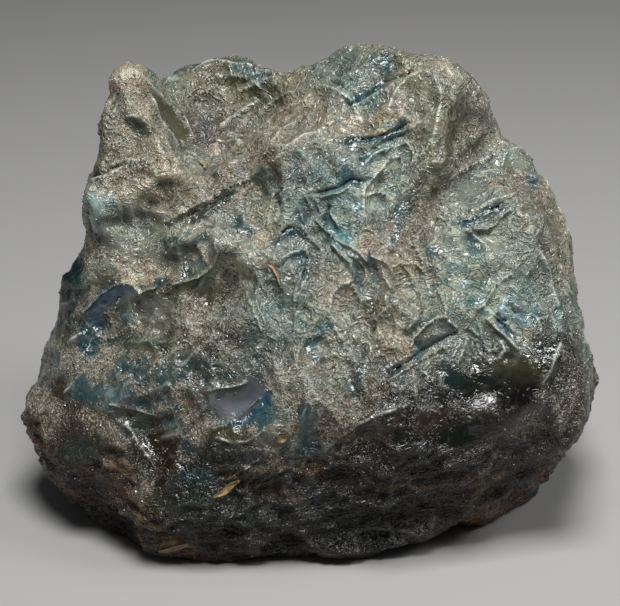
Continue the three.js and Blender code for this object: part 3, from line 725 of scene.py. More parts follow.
# %% Windows
WINDOWS = {
    "horn": [
        ("bottle", 1.4, 0.8, [(127, 118), (136, 122), (148, 131)]),
        ("reed", 2.2, 0.7, [(100, 112), (97, 130), (95, 150), (96, 166)]),
        ("moss", 3.2, 1.0, [(157, 98), (169, 118), (184, 136)]),
        ("bottle", 1.4, 1.0, [(92, 170), (97, 176)]),
        ("reed", 2.6, 0.6, [(124, 188), (136, 196), (146, 202)]),
        ("mist", 3.0, 0.7, [(112, 232), (122, 242)]), ("sky", 2.7, 0.75, [(94, 199), (97, 214)]),
    ],
    "left side": [
        ("sky", 1.4, 0.8, [(90, 218), (94, 224)]),
        ("petrol", 4.0, 1.3, [(74, 262), (70, 282), (64, 304), (57, 322)]),
        ("lapis", 2.4, 1.2, [(106, 300), (118, 292), (132, 294)]),
        ("lapis", 2.4, 1.2, [(98, 308), (94, 326)]), ("petrol", 3.0, 1.2, [(90, 334), (86, 346)]),
        ("steel", 2.0, 0.9, [(134, 304), (126, 316)]), ("petrol", 1.0, 0.9, [(156, 286), (166, 284)]),
        ("bottle", 1.4, 0.8, [(144, 292), (154, 297)]),
        ("ink", 1.2, 0.8, [(186, 252), (196, 246), (203, 240)]),
        ("mist", 3.0, 0.8, [(168, 258), (182, 250)]), ("bottle", 2.6, 0.8, [(168, 246), (180, 242)]),
        ("petrol", 2.6, 0.8, [(186, 272), (198, 270)]), ("bottle", 3.2, 0.8, [(186, 285), (204, 280)]),
        ("moss", 2.6, 0.7, [(196, 300), (214, 296)]),
        ("mist", 2.8, 0.75, [(136, 306), (150, 318), (164, 336)]),
        ("mist", 3.0, 0.8, [(150, 300), (168, 310)]),
        ("bottle", 2.6, 0.9, [(130, 342), (148, 346), (166, 338)]),
        ("moss", 1.8, 0.7, [(136, 360), (148, 356)]), ("mist", 3.2, 0.7, [(192, 358), (206, 356)]),
        ("petrol", 3.0, 0.7, [(120, 366), (150, 372), (182, 372), (208, 364)]),
        ("teal", 1.8, 0.8, [(74, 382), (86, 380)]),
    ],
    "lower left": [
        ("petrol", 2.6, 0.8, [(66, 398), (86, 392), (100, 390)]),
        ("steel", 2.0, 0.7, [(110, 396), (126, 398)]), ("ink", 1.6, 0.8, [(132, 402), (144, 405)]),
        ("violet", 3.6, 1.0, [(226, 406), (240, 402), (252, 394)]),
        ("lapis", 1.9, 1.0, [(222, 431), (240, 427), (256, 416), (268, 404)]),
        ("petrol", 2.2, 0.8, [(258, 424), (270, 416)]),
        ("moss", 1.4, 0.9, [(212, 433), (230, 438), (248, 436)]),
        ("petrol", 2.2, 0.8, [(302, 414), (308, 434), (312, 452)]),
        ("ink", 1.6, 0.8, [(312, 428), (316, 444)]),
        ("umber", 3.6, 0.9, [(62, 452), (76, 470), (96, 484)]),
        ("umber", 2.2, 0.8, [(58, 386), (62, 396)]), ("bottle", 3.0, 0.8, [(72, 448), (88, 446)]),
        ("ink", 1.4, 0.7, [(186, 445), (196, 450)]), ("petrol", 2.2, 0.7, [(186, 474), (204, 480)]),
        ("bottle", 2.6, 0.7, [(196, 500), (214, 508)]), ("petrol", 2.0, 0.6, [(286, 442), (300, 452)]),
        ("bottle", 3.0, 0.7, [(168, 506), (196, 522)]), ("ink", 2.4, 0.6, [(312, 490), (322, 492)]),
    ],
    "middle": [
        ("bottle", 1.5, 0.9, [(258, 176), (266, 184), (262, 196)]),
        ("bottle", 1.2, 0.9, [(196, 220), (210, 208), (226, 196)]),
        ("bottle", 1.0, 0.8, [(180, 225), (192, 220)]), ("petrol", 1.0, 0.8, [(240, 226), (244, 232)]),
        ("ink", 1.3, 0.9, [(320, 193), (338, 188), (352, 179), (362, 181)]),
        ("ink", 1.4, 0.8, [(329, 208), (326, 218)]), ("steel", 3.0, 0.6, [(340, 200), (352, 204)]),
        ("petrol", 1.2, 0.8, [(296, 212), (299, 218)]), ("petrol", 1.2, 0.8, [(282, 234), (294, 230)]),
        ("petrol", 1.2, 0.8, [(296, 258), (306, 262), (310, 276)]),
        ("petrol", 1.0, 0.8, [(330, 240), (342, 246)]), ("teal", 1.4, 0.7, [(338, 226), (346, 238)]),
        ("moss", 2.0, 0.6, [(288, 272), (294, 284)]),
        ("petrol", 1.6, 0.7, [(356, 262), (360, 276), (358, 290)]),
        ("ink", 1.5, 0.7, [(372, 262), (378, 272)]), ("steel", 2.0, 0.6, [(378, 284), (376, 292)]),
        ("bottle", 2.0, 0.7, [(368, 300), (374, 310)]),
        ("teal", 1.4, 0.7, [(322, 326), (316, 340), (314, 350)]),
        ("teal", 1.2, 0.7, [(360, 372), (352, 388)]),
    ],
    "knob": [
        ("teal", 1.8, 0.7, [(376, 60), (384, 68)]),
        ("petrol", 1.1, 0.9, [(357, 102), (368, 94), (378, 88), (390, 80)]),
        ("petrol", 1.3, 0.8, [(366, 102), (376, 110)]),
        ("petrol", 1.1, 0.9, [(348, 144), (366, 140), (388, 134), (404, 126)]),
        ("teal", 1.4, 0.7, [(368, 162), (380, 152), (394, 146)]),
        ("petrol", 1.2, 0.8, [(356, 150), (362, 160)]), ("petrol", 1.4, 0.7, [(338, 172), (350, 176)]),
        ("reed", 3.4, 0.6, [(418, 80), (428, 94)]), ("reed", 2.4, 0.5, [(398, 86), (404, 96)]),
        ("moss", 2.2, 0.8, [(462, 110), (452, 140), (436, 166)]),
    ],
    "valley and shoulder": [
        ("bottle", 1.8, 0.8, [(420, 190), (408, 208)]), ("petrol", 1.4, 0.8, [(398, 228), (390, 240)]),
        ("teal", 0.9, 0.8, [(398, 206), (392, 218)]), ("ice", 3.2, 0.8, [(474, 178), (470, 190)]),
        ("ice", 2.6, 0.8, [(500, 162), (524, 162)]), ("steel", 2.0, 0.7, [(530, 178), (526, 190)]),
        ("ink", 1.4, 0.8, [(466, 224), (482, 218), (498, 208)]),
        ("ice", 3.2, 0.8, [(490, 238), (482, 248)]), ("petrol", 1.8, 0.7, [(470, 240), (474, 250)]),
        ("petrol", 1.0, 0.8, [(424, 246), (436, 252)]),
    ],
    "fan": [
        ("bottle", 1.4, 0.7, [(474, 282), (482, 280)]), ("teal", 1.2, 0.7, [(470, 302), (482, 296)]),
        ("bottle", 1.4, 0.7, [(434, 312), (420, 326), (412, 334)]),
        ("steel", 3.0, 0.7, [(506, 306), (520, 318)]), ("ink", 1.1, 0.8, [(500, 322), (512, 332)]),
        ("petrol", 1.3, 0.8, [(514, 300), (528, 312), (544, 320)]),
        ("petrol", 1.5, 0.8, [(448, 336), (432, 346), (414, 358)]),
        ("violet", 1.8, 0.6, [(456, 324), (448, 330)]), ("petrol", 1.8, 0.7, [(404, 366), (388, 376)]),
        ("bottle", 3.2, 0.8, [(548, 352), (552, 364)]), ("teal", 1.8, 0.7, [(556, 310), (560, 330)]),
        ("moss", 2.6, 0.7, [(480, 372), (500, 366), (512, 364)]),
        ("moss", 4.0, 0.9, [(506, 366), (526, 372), (530, 380)]),
    ],
    "brow and foot": [
        ("bottle", 3.0, 0.8, [(452, 384), (476, 388), (500, 386)]),
        # Near-black windows under the brow are partly painted shade.
        ("teal", 1.4, 0.7, [(450, 386), (458, 384)]), ("soot", 2.4, 0.9, [(340, 472), (372, 464)]),
        ("soot", 2.0, 0.9, [(396, 476), (430, 466)]), ("umber", 2.6, 0.9, [(452, 440), (486, 428)]),
        ("soot", 2.2, 0.9, [(506, 452), (536, 440)]), ("bottle", 2.4, 0.9, [(300, 508), (334, 502)]),
        ("soot", 2.6, 0.9, [(372, 506), (410, 498)]), ("umber", 2.4, 0.9, [(440, 492), (470, 484)]),
        ("bottle", 2.2, 0.9, [(240, 520), (270, 524)]), ("umber", 2.6, 0.9, [(150, 440), (170, 452)]),
        ("bottle", 2.4, 0.9, [(130, 424), (150, 420)]), ("umber", 2.0, 0.9, [(112, 484), (130, 500)]),
        ("bottle", 2.4, 0.9, [(232, 454), (256, 458)]), ("umber", 3.0, 0.7, [(500, 400), (530, 396)]),
        ("bottle", 3.2, 0.6, [(400, 432), (430, 440), (470, 430)]),
        ("umber", 3.4, 0.6, [(360, 452), (390, 462)]), ("umber", 3.0, 0.6, [(440, 470), (480, 456)]),
        ("bottle", 3.0, 0.7, [(330, 520), (360, 512)]), ("umber", 3.0, 0.6, [(530, 460), (555, 446)]),
    ],
}
for tone, reach, depth, seen in strokes(WINDOWS):
    window(tone, reach, seen, depth)
print(len(strokes(WINDOWS)), "windows; bare part", round(float(bare.mean()), 2))

# %% [markdown]
# ## Light and dark stretches
# Stone isn't one shade. Each stretch of the front is made lighter or darker as a whole, crust and
# glass alike, which keeps the colours laid before. This is partly the stone's own tone and partly
# painted light and shade: darker under the brow and at the foot where shade falls, and on upturned
# faces that the lamp overhead lights strongly, lighter in pits that the lamp doesn't reach. Crusts of
# different hue are first drawn a little together.

# %% How light each stretch is
SHADES = [
    ("horn face", 1.05, 10, [(128, 95), (135, 140)]), ("horn foot", 0.65, 9, [(115, 172), (148, 170)]),
    ("horn left edge", 0.75, 6, [(100, 130), (100, 160)]),
    ("pale patch", 2.0, 6, [(94, 200), (95, 220)]),
    ("below the horn", 1.3, 7, [(130, 190), (142, 198)]),
    ("left flank", 0.35, 7, [(72, 268), (64, 320)]), ("ledge window", 3.0, 6, [(106, 292), (132, 286)]),
    ("grey window", 0.85, 9, [(148, 322), (170, 330)]),
    ("crust by the window", 0.9, 8, [(190, 320), (190, 345)]),
    ("bowl foot", 0.47, 8, [(200, 125), (215, 140)]), ("bowl top", 0.7, 10, [(200, 98), (240, 98)]),
    ("block", 1.5, 4, [(222, 149), (236, 149)]), ("hump rim", 0.66, 6, [(205, 68), (265, 68)]),
    ("crown top", 0.75, 8, [(350, 62), (392, 66)]), ("knob seam", 1.35, 6, [(360, 95), (378, 105)]),
    ("knob oval", 0.75, 8, [(400, 95), (428, 95)]),
    ("knob right side", 0.85, 10, [(468, 85), (480, 120)]), ("band", 0.85, 6, [(360, 148), (398, 148)]),
    ("shield", 1.5, 8, [(382, 175), (378, 205)]),
    ("valley right side", 0.8, 8, [(475, 155), (445, 175)]),
    ("valley", 1.2, 7, [(425, 170), (420, 195)]), ("shoulder top", 0.75, 10, [(455, 180), (515, 178)]),
    ("shoulder hollow", 1.05, 8, [(460, 232), (495, 232)]),
    ("right edge", 0.65, 8, [(543, 200), (552, 255)]),
    ("long crease", 1.1, 8, [(180, 205), (235, 215)]), ("spine", 1.6, 9, [(262, 188), (285, 218)]),
    ("blue crevice", 1.8, 12, [(330, 198), (355, 228)]), ("middle", 0.95, 12, [(305, 250), (315, 300)]),
    ("middle foot", 1.0, 12, [(290, 320), (315, 350)]),
    ("hollow rim", 1.25, 9, [(204, 226), (262, 250)]),
    ("grey stripes", 0.8, 12, [(225, 305), (255, 340)]),
    ("olive fan", 0.82, 10, [(395, 270), (410, 315)]), ("fan", 1.45, 14, [(445, 275), (485, 330)]),
    ("fan panel", 1.75, 9, [(505, 300), (530, 325)]), ("far right", 0.85, 8, [(555, 270), (562, 325)]),
    ("brow glass", 0.55, 10, [(455, 365), (540, 365)]), ("fan foot", 0.9, 10, [(395, 345), (445, 365)]),
    ("right corner", 0.2, 11, [(568, 352), (574, 420)]),
    ("under the brow", 0.3, 20, [(470, 420), (550, 430)]),
    ("base middle", 0.4, 18, [(350, 470), (430, 475)]), ("base", 0.42, 16, [(295, 520), (400, 520)]),
    ("left corner", 1.0, 8, [(55, 385), (60, 420)]), ("base left", 0.42, 12, [(180, 520), (270, 525)]),
    ("low crust", 0.75, 12, [(130, 460), (180, 480)]), ("lens", 1.5, 8, [(215, 410), (255, 410)]),
    ("below the lens", 0.42, 14, [(255, 465), (315, 480)]),
    ("dark band", 1.15, 12, [(130, 365), (190, 375)]), ("low lip", 1.25, 12, [(120, 405), (190, 415)]),
    ("above the lens", 0.52, 12, [(210, 350), (250, 360)]),
    ("right of the lens", 0.85, 8, [(310, 400), (355, 405)]),
    ("violet strip", 0.5, 12, [(372, 374), (420, 384)]),
    ("brow left", 0.25, 12, [(396, 424), (440, 424)]), ("brow edge", 0.2, 10, [(470, 404), (520, 400)]),
    ("valley mouth", 0.75, 8, [(385, 230), (422, 226)]),
    ("bowl right side", 1.15, 8, [(238, 84), (275, 106)]), ("oval top", 1.7, 5, [(416, 82), (424, 90)]),
    ("above the ledge", 1.0, 6, [(104, 262), (110, 274)]),
    ("below the pale patch", 1.15, 6, [(106, 226), (112, 234)]),
    ("ochre chip", 1.3, 7, [(270, 424), (286, 442)]),
    ("left crust edge", 1.6, 6, [(80, 392), (94, 400)]), ("straw", 1.2, 8, [(232, 470), (250, 488)]),
    ("plum hollow", 0.55, 7, [(212, 130), (232, 136)]), ("hollow", 3.2, 7, [(212, 268), (240, 272)]),
    ("hollow foot", 0.75, 5, [(214, 300), (246, 302)]),
    ("under the horn", 1.6, 7, [(150, 202), (172, 196)]),
    ("horn right foot", 1.25, 7, [(165, 180), (185, 184)]),
    ("oval right side", 1.3, 6, [(392, 128), (404, 142)]),
    ("crown foot", 1.2, 8, [(272, 106), (302, 106)]), ("hook", 1.5, 6, [(356, 276), (374, 276)]),
    ("violet strip top", 1.3, 7, [(404, 346), (424, 348)]),
    ("white line", 1.3, 6, [(442, 320), (448, 330)]),
    ("brow top", 0.2, 9, [(400, 412), (440, 402), (480, 398)]),
    ("middle base", 0.8, 6, [(300, 372), (326, 372)]),
    ("window right edge", 0.8, 6, [(204, 302), (204, 322)]),
]
TOGETHER = 0.25
LIGHT = 0.79
GLOW = np.array([1.01, 0.975, 0.955])  # a little warmer as a whole
middling = (linear("slate") + linear("tan")) / 2
crust += (TOGETHER * (1 - low))[:, None] * (middling - crust)
shade = np.full(len(P), LIGHT)
for _, level, reach, seen in SHADES:
    soft_mask(shade, LIGHT * level, reach, seen)
print("shades from", round(float(shade.min()), 2), "to", round(float(shade.max()), 2))
# Crust and glass scaled by each stretch's level: the stone's own tone together with painted light and
# shade.
crust *= shade[:, None] * GLOW
glass *= shade[:, None] * GLOW

# %% [markdown]
# ## Relief
# The crust stands a little over the glass, lumpy and pitted. The stone was dissolved in shallow bowls
# that meet in sharp edges, broad ones and small ones. Below the brow it is layered, so its noise is
# stretched flat and tilted a little. Sculpting could give all this, but noise with sizes in millimetres
# covers every side alike. The listed ridges come last, and all fades out at the foot.

# %% Bowls, lumps and layers
N = softened(facings(), 2)
N /= np.linalg.norm(N, axis=1)[:, None]
UPRIGHT = np.array([1.0, 1.0, 0.6])
LAYERS = np.array([0.4, 0.4, 1.4])
DIP = 0.2
under = low * step(0.35, 0.0, N[:, 2])
lumps = 0.4 * cloud(P, 6.5, 3, 20) + 0.15 * cloud(WAVY, 2.6, 3, 21)
pits = -0.25 * step(0.25, 0.6, cloud(WAVY, 3.6, 2, 22))
bowls = scallops(bent(P, 14, 7, 28) * UPRIGHT, 9.0)
small_bowls = scallops(bent(P, 7, 3.5, 29) * UPRIGHT, 4.2)
least_bowls = scallops(bent(P, 4, 2.0, 30), 2.3)
layered = np.abs(cloud((WAVY @ Matrix.Rotation(-DIP, 3, "Y")) * LAYERS, 6.0, 3, 23))
ripple = 0.15 * cloud(P, 5.0, 2, 27)

# %% Smooth places
SMOOTH = [
    ("lens", 5, [(236, 406), (250, 396)]), ("horn right face", 4, [(165, 112), (182, 134)]),
    ("brow", 6, [(452, 390), (478, 388), (504, 382), (522, 377)]),
    ("under the brow", 8, [(396, 430), (440, 430), (480, 422), (520, 412)]),
]
quiet = np.zeros(len(P))
for _, reach, seen in SMOOTH:
    quiet = np.maximum(quiet, step(reach, reach * 0.5, away(P, path(seen), reach)))
hand_laid = np.zeros(len(P))
for name, width, _, _ in RIDGES:
    hand_laid = np.maximum(hand_laid, step(width * 2.0, width * 0.8, away(P, paths[name], width * 2.2)))
    P += drawn_to(P, paths[name], SNAP)
print("smooth part", round(float(quiet.mean()), 3), "beside ridges", round(float(hand_laid.mean()), 2))

# %% How far each point rises
calm = (1 - 0.5 * hand_laid) * (1 - 0.2 * under) * (1 - 0.7 * quiet)
edge_mask = step(-0.2, 0.25, cloud(P, 16, 2, 26))
rise = (1 - bare) * (lumps + pits) * (1 - 0.5 * hand_laid) * (1 - 0.7 * quiet) + bare * ripple
eaten = 1.0 * step(0, 0.5, bowls) + 0.55 * step(0, 0.45, small_bowls) + 0.12 * step(0, 0.5, least_bowls)
rise -= calm * eaten
rise += (0.5 + 0.5 * (1 - bare)) * under * 3.2 * (0.25 - layered) + 0.5

crest = 0.15 * under * edge_mask * step(0.06, 0.0, layered)
crest += calm * edge_mask * np.maximum(0.7 * step(0.09, 0.0, bowls), 0.3 * step(0.1, 0.0, small_bowls))
fading = 0.7 + 0.3 * step(-0.25, 0.25, cloud(P, 4.0, 2, 33))
for name, width, rise_by, _ in RIDGES:
    near = fading * np.clip(1 - away(P, paths[name], width * 1.6) / (width * 0.5), 0, 1)
    if rise_by > 0:
        rise += 1.1 * rise_by * near
        crest = np.maximum(crest, near)
    else:
        rise += 0.9 * rise_by * step(0, 1, near)
        crest *= 1 - step(0.2, 0.8, near)
foot = step(0.3, 4.0, P[:, 2])
moved = P + N * (rise * foot)[:, None]
lay(moved)
print("relief from", round(float(rise.min()), 2), "to", round(float(rise.max()), 2), "mm")

# %% Hollows and crests
smooth_places = softened(places(), 3)
D = facings()
fine = ((places() - smooth_places) * D).sum(1)
wide = ((places() - softened(smooth_places, 12)) * D).sum(1)
# The hollows found here are painted darker in the finish as shade.
hollow = step(0.0, 0.3, -fine) * 0.5 + step(0.2, 1.4, -wide) * 0.12
# The peaks found here are painted lighter in the finish as light.
peak_light = step(0.04, 0.3, fine)
print("hollow", round(float(hollow.mean()), 3), "peak_light", round(float(peak_light.mean()), 3))


def keep(name, values):
    """Stores a value, or a colour, for each of the skin's points."""
    values = np.asarray(values, np.float32)
    if values.ndim == 1:
        skin_mesh.attributes.new(name, "FLOAT", "POINT").data.foreach_set("value", values)
    else:
        filled = np.concatenate([values, np.ones((len(values), 1), np.float32)], 1)
        skin_mesh.attributes.new(name, "FLOAT_COLOR", "POINT").data.foreach_set("color", filled.ravel())


keep("crust_tone", crust)
keep("glass_tone", glass)
keep("bare", softened(bare, 1))
keep("sugar", sugar)
keep("under", under)
keep("calm", np.maximum(quiet, 0.3 * hand_laid))
keep("hollow", np.clip(hollow, 0, 1))
keep("peak_light", peak_light)
keep("crest", np.clip(crest, 0, 1))

# %% [markdown]
# ## The finish
# One finish holds crust and glass. The edge between them is broken up with fine noise, which is
# sharper than the facets, and the colours run into each other over a wider stretch than the texture
# does, as light does in cloudy glass. Crust is grained and lined with pale curls, partly painted
# highlights. Glass is dark and glossy. Crests, fold lines and peaks are painted pale as highlights, and
# hollows and the low downward faces are painted darker as shade.


# %% Shader maths
class Wire:
    """A socket, so that sums on shader values read as Python."""

    def __init__(self, finish, socket):
        self.finish, self.socket = finish, socket

    def sum_of(self, operation, other, swapped=False):
        """The Math node that does one operation on this value and another."""
        pair = (other, self) if swapped else (self, other)
        return self.finish.node("ShaderNodeMath", {"operation": operation}, {0: pair[0], 1: pair[1]})

    def __add__(self, other):
        return self.sum_of("ADD", other)

    def __radd__(self, other):
        return self.sum_of("ADD", other, True)

    def __sub__(self, other):
        return self.sum_of("SUBTRACT", other)

    def __rsub__(self, other):
        return self.sum_of("SUBTRACT", other, True)

    def __mul__(self, other):
        return self.sum_of("MULTIPLY", other)

    def __pow__(self, other):
        return self.sum_of("POWER", other)

    def ramp(self, low, high):
        """Rises smoothly from 0 at low to 1 at high."""
        settings = {"interpolation_type": "SMOOTHSTEP"}
        return self.finish.node("ShaderNodeMapRange", settings, {0: self, 1: low, 2: high, 3: 0.0, 4: 1.0})

    def folded(self, steepness):
        """Sharp crests, from 0 to 1, where a noise passes its middle."""
        from_middle = self.sum_of("SUBTRACT", 0.5).sum_of("ABSOLUTE", 0.0)
        return (1 - from_middle * steepness).sum_of("MAXIMUM", 0.0)


class Finish:
    """A material and the ways to add nodes to it."""

    def __init__(self, name):
        self.material = bpy.data.materials.new(name)
        self.material.use_nodes = True
        self.tree = self.material.node_tree
        self.shader = self.tree.nodes["Principled BSDF"]

    def node(self, kind, settings, values, out=0):
        """Adds a node: its settings, then its sockets' values or links, and returns an output."""
        made = self.tree.nodes.new(kind)
        for name, value in settings.items():
            setattr(made, name, value)
        for key, value in values.items():
            self.put(made.inputs[key], value)
        return Wire(self, made.outputs[out])

    def put(self, socket, value):
        """Gives a socket a value or a link."""
        if isinstance(value, Wire):
            self.tree.links.new(value.socket, socket)
        else:
            socket.default_value = value

    def mix(self, share, a, b, blend="MIX"):
        """Two colours mixed by a share."""
        settings = {"data_type": "RGBA", "blend_type": blend, "clamp_factor": True}
        return self.node("ShaderNodeMix", settings, {0: share, 6: a, 7: b}, 2)

    def tinted(self, tone, share, *tint):
        """A colour with its red, green and blue each scaled, by a share."""
        return self.mix(share, tone, tint + (1.0,), "MULTIPLY")

    def scaled(self, tone, by):
        """A colour made lighter or darker, with its hue kept."""
        return self.node("ShaderNodeVectorMath", {"operation": "SCALE"}, {0: tone, "Scale": by})

    def kept(self, name, out="Fac"):
        """A value stored on the mesh."""
        return self.node("ShaderNodeAttribute", {"attribute_name": name}, {}, out)

    def millimetres(self):
        """Places on the object, in millimetres."""
        metres = self.node("ShaderNodeTexCoord", {}, {}, "Object")
        return self.scaled(metres, 1000.0)

    def noise(self, where, size, detail=3.0, rough=0.5, distortion=0.0):
        """Noise around a half, with lumps of a size in millimetres."""
        values = {"Vector": where, "Scale": 1 / size, "Detail": detail, "Roughness": rough}
        values["Distortion"] = distortion
        return self.node("ShaderNodeTexNoise", {}, values)


def colour(*values):
    """A colour from screen values."""
    return tuple((v / 255) ** 2.2 for v in values) + (1.0,)


# %% Noises of the stone's finish
stone = Finish("apatite")
at = stone.millimetres()

grit = stone.noise(at, 0.45, 2.0, 0.6)
grain = stone.noise(at, 0.9, 2.0, 0.5, 0.6)
lace = stone.noise(at, 1.4, 1.5, 0.5, 1.8)
vein = stone.noise(at, 3.6, 1.0, 0.4, 1.3)
patch = stone.noise(at, 3.0, 3.0, 0.55)
drift = stone.noise(at, 9.0, 3.0, 0.5)

# %% Where crust, glass, crests and layers are
on_crest = stone.kept("crest")
sugary = stone.kept("sugar")
rough_here = drift.ramp(0.3, 0.6) * 0.6 + 0.4
worm = lace.folded(4.5)
line = worm.ramp(0.8, 1.0)
gap = worm.ramp(0.55, 0.15)
fold = vein.folded(9.0)
fold_line = fold.ramp(0.6, 1.0)
turn = {"Vector": at, "Rotation": (0.0, -DIP, 0.0), "Scale": (3.0, 3.0, 0.8)}
layers = stone.node("ShaderNodeMapping", {"vector_type": "TEXTURE"}, turn)
below = stone.kept("under")
layer_line = stone.noise(layers, 1.6, 3.0, 0.55, 0.6).folded(6.0) * below

bare_here = (stone.kept("bare") + (patch - 0.5) * 0.9 + (lace - 0.5) * 1.2).ramp(0.36, 0.62)
deep_here = (stone.kept("bare") + (patch - 0.5) * 0.7 + (lace - 0.5) * 0.8).ramp(0.2, 0.85)
crusty = (1 - bare_here) * (1 - on_crest * 0.6)
texture = (1 - bare_here * 0.6) * (1 - stone.kept("calm") * 0.85) * rough_here

# %% The stone's colour
crust_colour = stone.kept("crust_tone", "Color")
crust_colour = stone.tinted(crust_colour, patch.ramp(0.5, 0.66) * 0.7, 0.55, 0.76, 0.82)
crust_colour = stone.tinted(crust_colour, patch.ramp(0.46, 0.36) * 0.5, 1.06, 0.96, 0.84)
glass_colour = stone.kept("glass_tone", "Color")
glass_colour = stone.tinted(glass_colour, drift.ramp(0.45, 0.65) * 0.6, 1.5, 1.25, 1.1)
base = stone.mix(deep_here * (below * 0.1 + 0.9), crust_colour, glass_colour)
# Lighter along the lace and fold lines, partly the crust's own pattern and partly painted highlights;
# darker on the low downward faces as painted shade.
marks_and_painted_light = line * 0.85 - gap * (0.34 + sugary * 0.25) + fold_line * 0.6 + layer_line * 1.2 - below * 0.3
base = stone.scaled(base, 1 + texture * marks_and_painted_light)
# Pale curls: partly the sugar's own pale strands, partly painted highlights; darker brown on the low
# downward faces.
curl_and_highlight = line * crusty * (sugary * 1.3 - 0.3 + (vein - 0.5) * 1.2).ramp(0.0, 0.8)
rind = stone.mix(below, colour(198, 190, 174), colour(108, 90, 68))
base = stone.mix(curl_and_highlight * 0.85, base, rind)
# Hollows are painted darker as shade.
base = stone.tinted(base, stone.kept("hollow") * 0.8, 0.2, 0.26, 0.26)
# Fold lines are painted pale as highlights, brownish on the low downward faces.
pale = stone.mix(below, colour(184, 190, 176), colour(112, 92, 68))
base = stone.mix(fold_line * texture * (patch.ramp(0.4, 0.6) * 0.4), base, pale)
seam = stone.noise(layers, 4.5, 2.0, 0.5, 0.8)
base = stone.tinted(base, seam.ramp(0.5, 0.58) * below, 1.4, 1.15, 0.85)
base = stone.tinted(base, seam.ramp(0.48, 0.4) * below, 0.3, 0.28, 0.24)
# Peaks are painted lighter as light.
base = stone.scaled(base, 1 + stone.kept("peak_light") * crusty * 0.35)
# Crests are painted pale as highlights.
base = stone.mix(on_crest ** 2.0 * (lace.ramp(0.38, 0.56) * 0.35 + 0.5), base, stone.scaled(pale, 1.15))

# %% The stone's gloss and bump
roughness = 0.17 + crusty * 0.08 + below * 0.06 + (grain - 0.5) * 0.15 - on_crest * 0.05
high = layer_line * 0.8 + worm * texture * 0.22 + curl_and_highlight * 0.2 + fold * texture * 0.6
high = high + crusty * sugary * (grain * 0.5 + grit * 0.3) + patch * 0.4
bump = stone.node("ShaderNodeBump", {}, {"Strength": 1.0, "Distance": 0.0006, "Height": high})

stone.put(stone.shader.inputs["Base Color"], base)
stone.put(stone.shader.inputs["Roughness"], roughness)
stone.put(stone.shader.inputs["Normal"], bump)
stone.shader.inputs["IOR"].default_value = 1.63
stone.shader.inputs["Specular IOR Level"].default_value = 0.45
skin_mesh.materials.clear()
skin_mesh.materials.append(stone.material)
print("stone finish of", len(stone.tree.nodes), "nodes")


# %% [markdown]
# ## The sugary crust
# The crust is made of crystals of about half a millimetre, and their flat faces are what sparkles.
# Bump can't do that, because each face is turned its own way, so they are real: one small double
# pyramid, copied tens of thousands of times, each turned, stretched and sunk into the skin. They are
# sorted by colour into a few pieces, as the crust is pale, tan, blue-grey or brown.

# %% Crystal shape
one = bmesh.new()
bmesh.ops.create_uvsphere(one, u_segments=4, v_segments=2, radius=0.5)
bmesh.ops.triangulate(one, faces=one.faces)
CRYSTAL = np.array([v.co for v in one.verts])
CRYSTAL_FACES = np.array([[v.index for v in f.verts] for f in one.faces])
one.free()
print("a crystal has", len(CRYSTAL_FACES), "faces")

# %% Where the crystals grow
corners = np.empty(len(skin_mesh.polygons) * 3, np.int32)
skin_mesh.polygons.foreach_get("vertices", corners)
corners = corners.reshape(-1, 3)
Q, D = places(), facings()
a, b, c = (Q[corners[:, k]] for k in range(3))
area = np.linalg.norm(np.cross(b - a, c - a), axis=1) / 2
clumps = step(0.0, 0.35, cloud(WAVY, 2.6, 3, 40))
growth = step(0.75, 0.3, bare) * (0.06 + 0.94 * clumps) * (0.05 + sugar ** 1.5) * (1 - 0.7 * quiet)
growth = growth * step(0.4, 3.0, Q[:, 2]) * (1 - 0.6 * under)
chance = area * growth[corners].mean(1)
print("crust covers", round(float(chance.sum() / area.sum()), 2), "of the skin")

SUNK = 0.05  # how deep a crystal's middle lies, as a share of its size
OFF_THE_FLOOR = 0.05  # millimetres


def crystals(name, count, sizes, weight, seed):
    """A piece of many crystals, grown where the weight, one value for each skin point, is high."""
    luck = np.random.default_rng(seed)
    odds = chance * weight[corners].mean(1)
    picked = luck.choice(len(odds), count, p=odds / odds.sum())
    share = luck.dirichlet((1, 1, 1), count)
    at_skin = (Q[corners[picked]] * share[:, :, None]).sum(1)
    out = (D[corners[picked]] * share[:, :, None]).sum(1)
    size = luck.uniform(*sizes, count) * luck.choice((1.0, 1.0, 0.75, 1.4), count)
    stretch = luck.uniform((0.7, 0.7, 0.9), (1.1, 1.1, 1.6), (count, 3)) * size[:, None]
    turn = luck.normal(size=(count, 4))
    turn /= np.linalg.norm(turn, axis=1)[:, None]
    w, x, y, z = turn.T
    spin = np.array([
        [1 - 2 * (y * y + z * z), 2 * (x * y - z * w), 2 * (x * z + y * w)],
        [2 * (x * y + z * w), 1 - 2 * (x * x + z * z), 2 * (y * z - x * w)],
        [2 * (x * z - y * w), 2 * (y * z + x * w), 1 - 2 * (x * x + y * y)],
    ]).transpose(2, 0, 1)
    shapes = np.einsum("nij,nkj->nki", spin, CRYSTAL[None] * stretch[:, None])
    shapes += (at_skin - out * (size * SUNK)[:, None])[:, None]
    shapes[:, :, 2] = np.maximum(shapes[:, :, 2], OFF_THE_FLOOR)
    faces = (CRYSTAL_FACES[None] + (np.arange(count) * len(CRYSTAL))[:, None, None]).reshape(-1, 3)
    mesh = bpy.data.meshes.new(name)
    mesh.from_pydata((shapes.reshape(-1, 3) * MM).tolist(), [], faces.tolist())
    made = bpy.data.objects.new(name, mesh)
    bpy.context.scene.collection.objects.link(made)
    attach(made, "root")
    print(name, len(mesh.polygons), "faces")
    return made


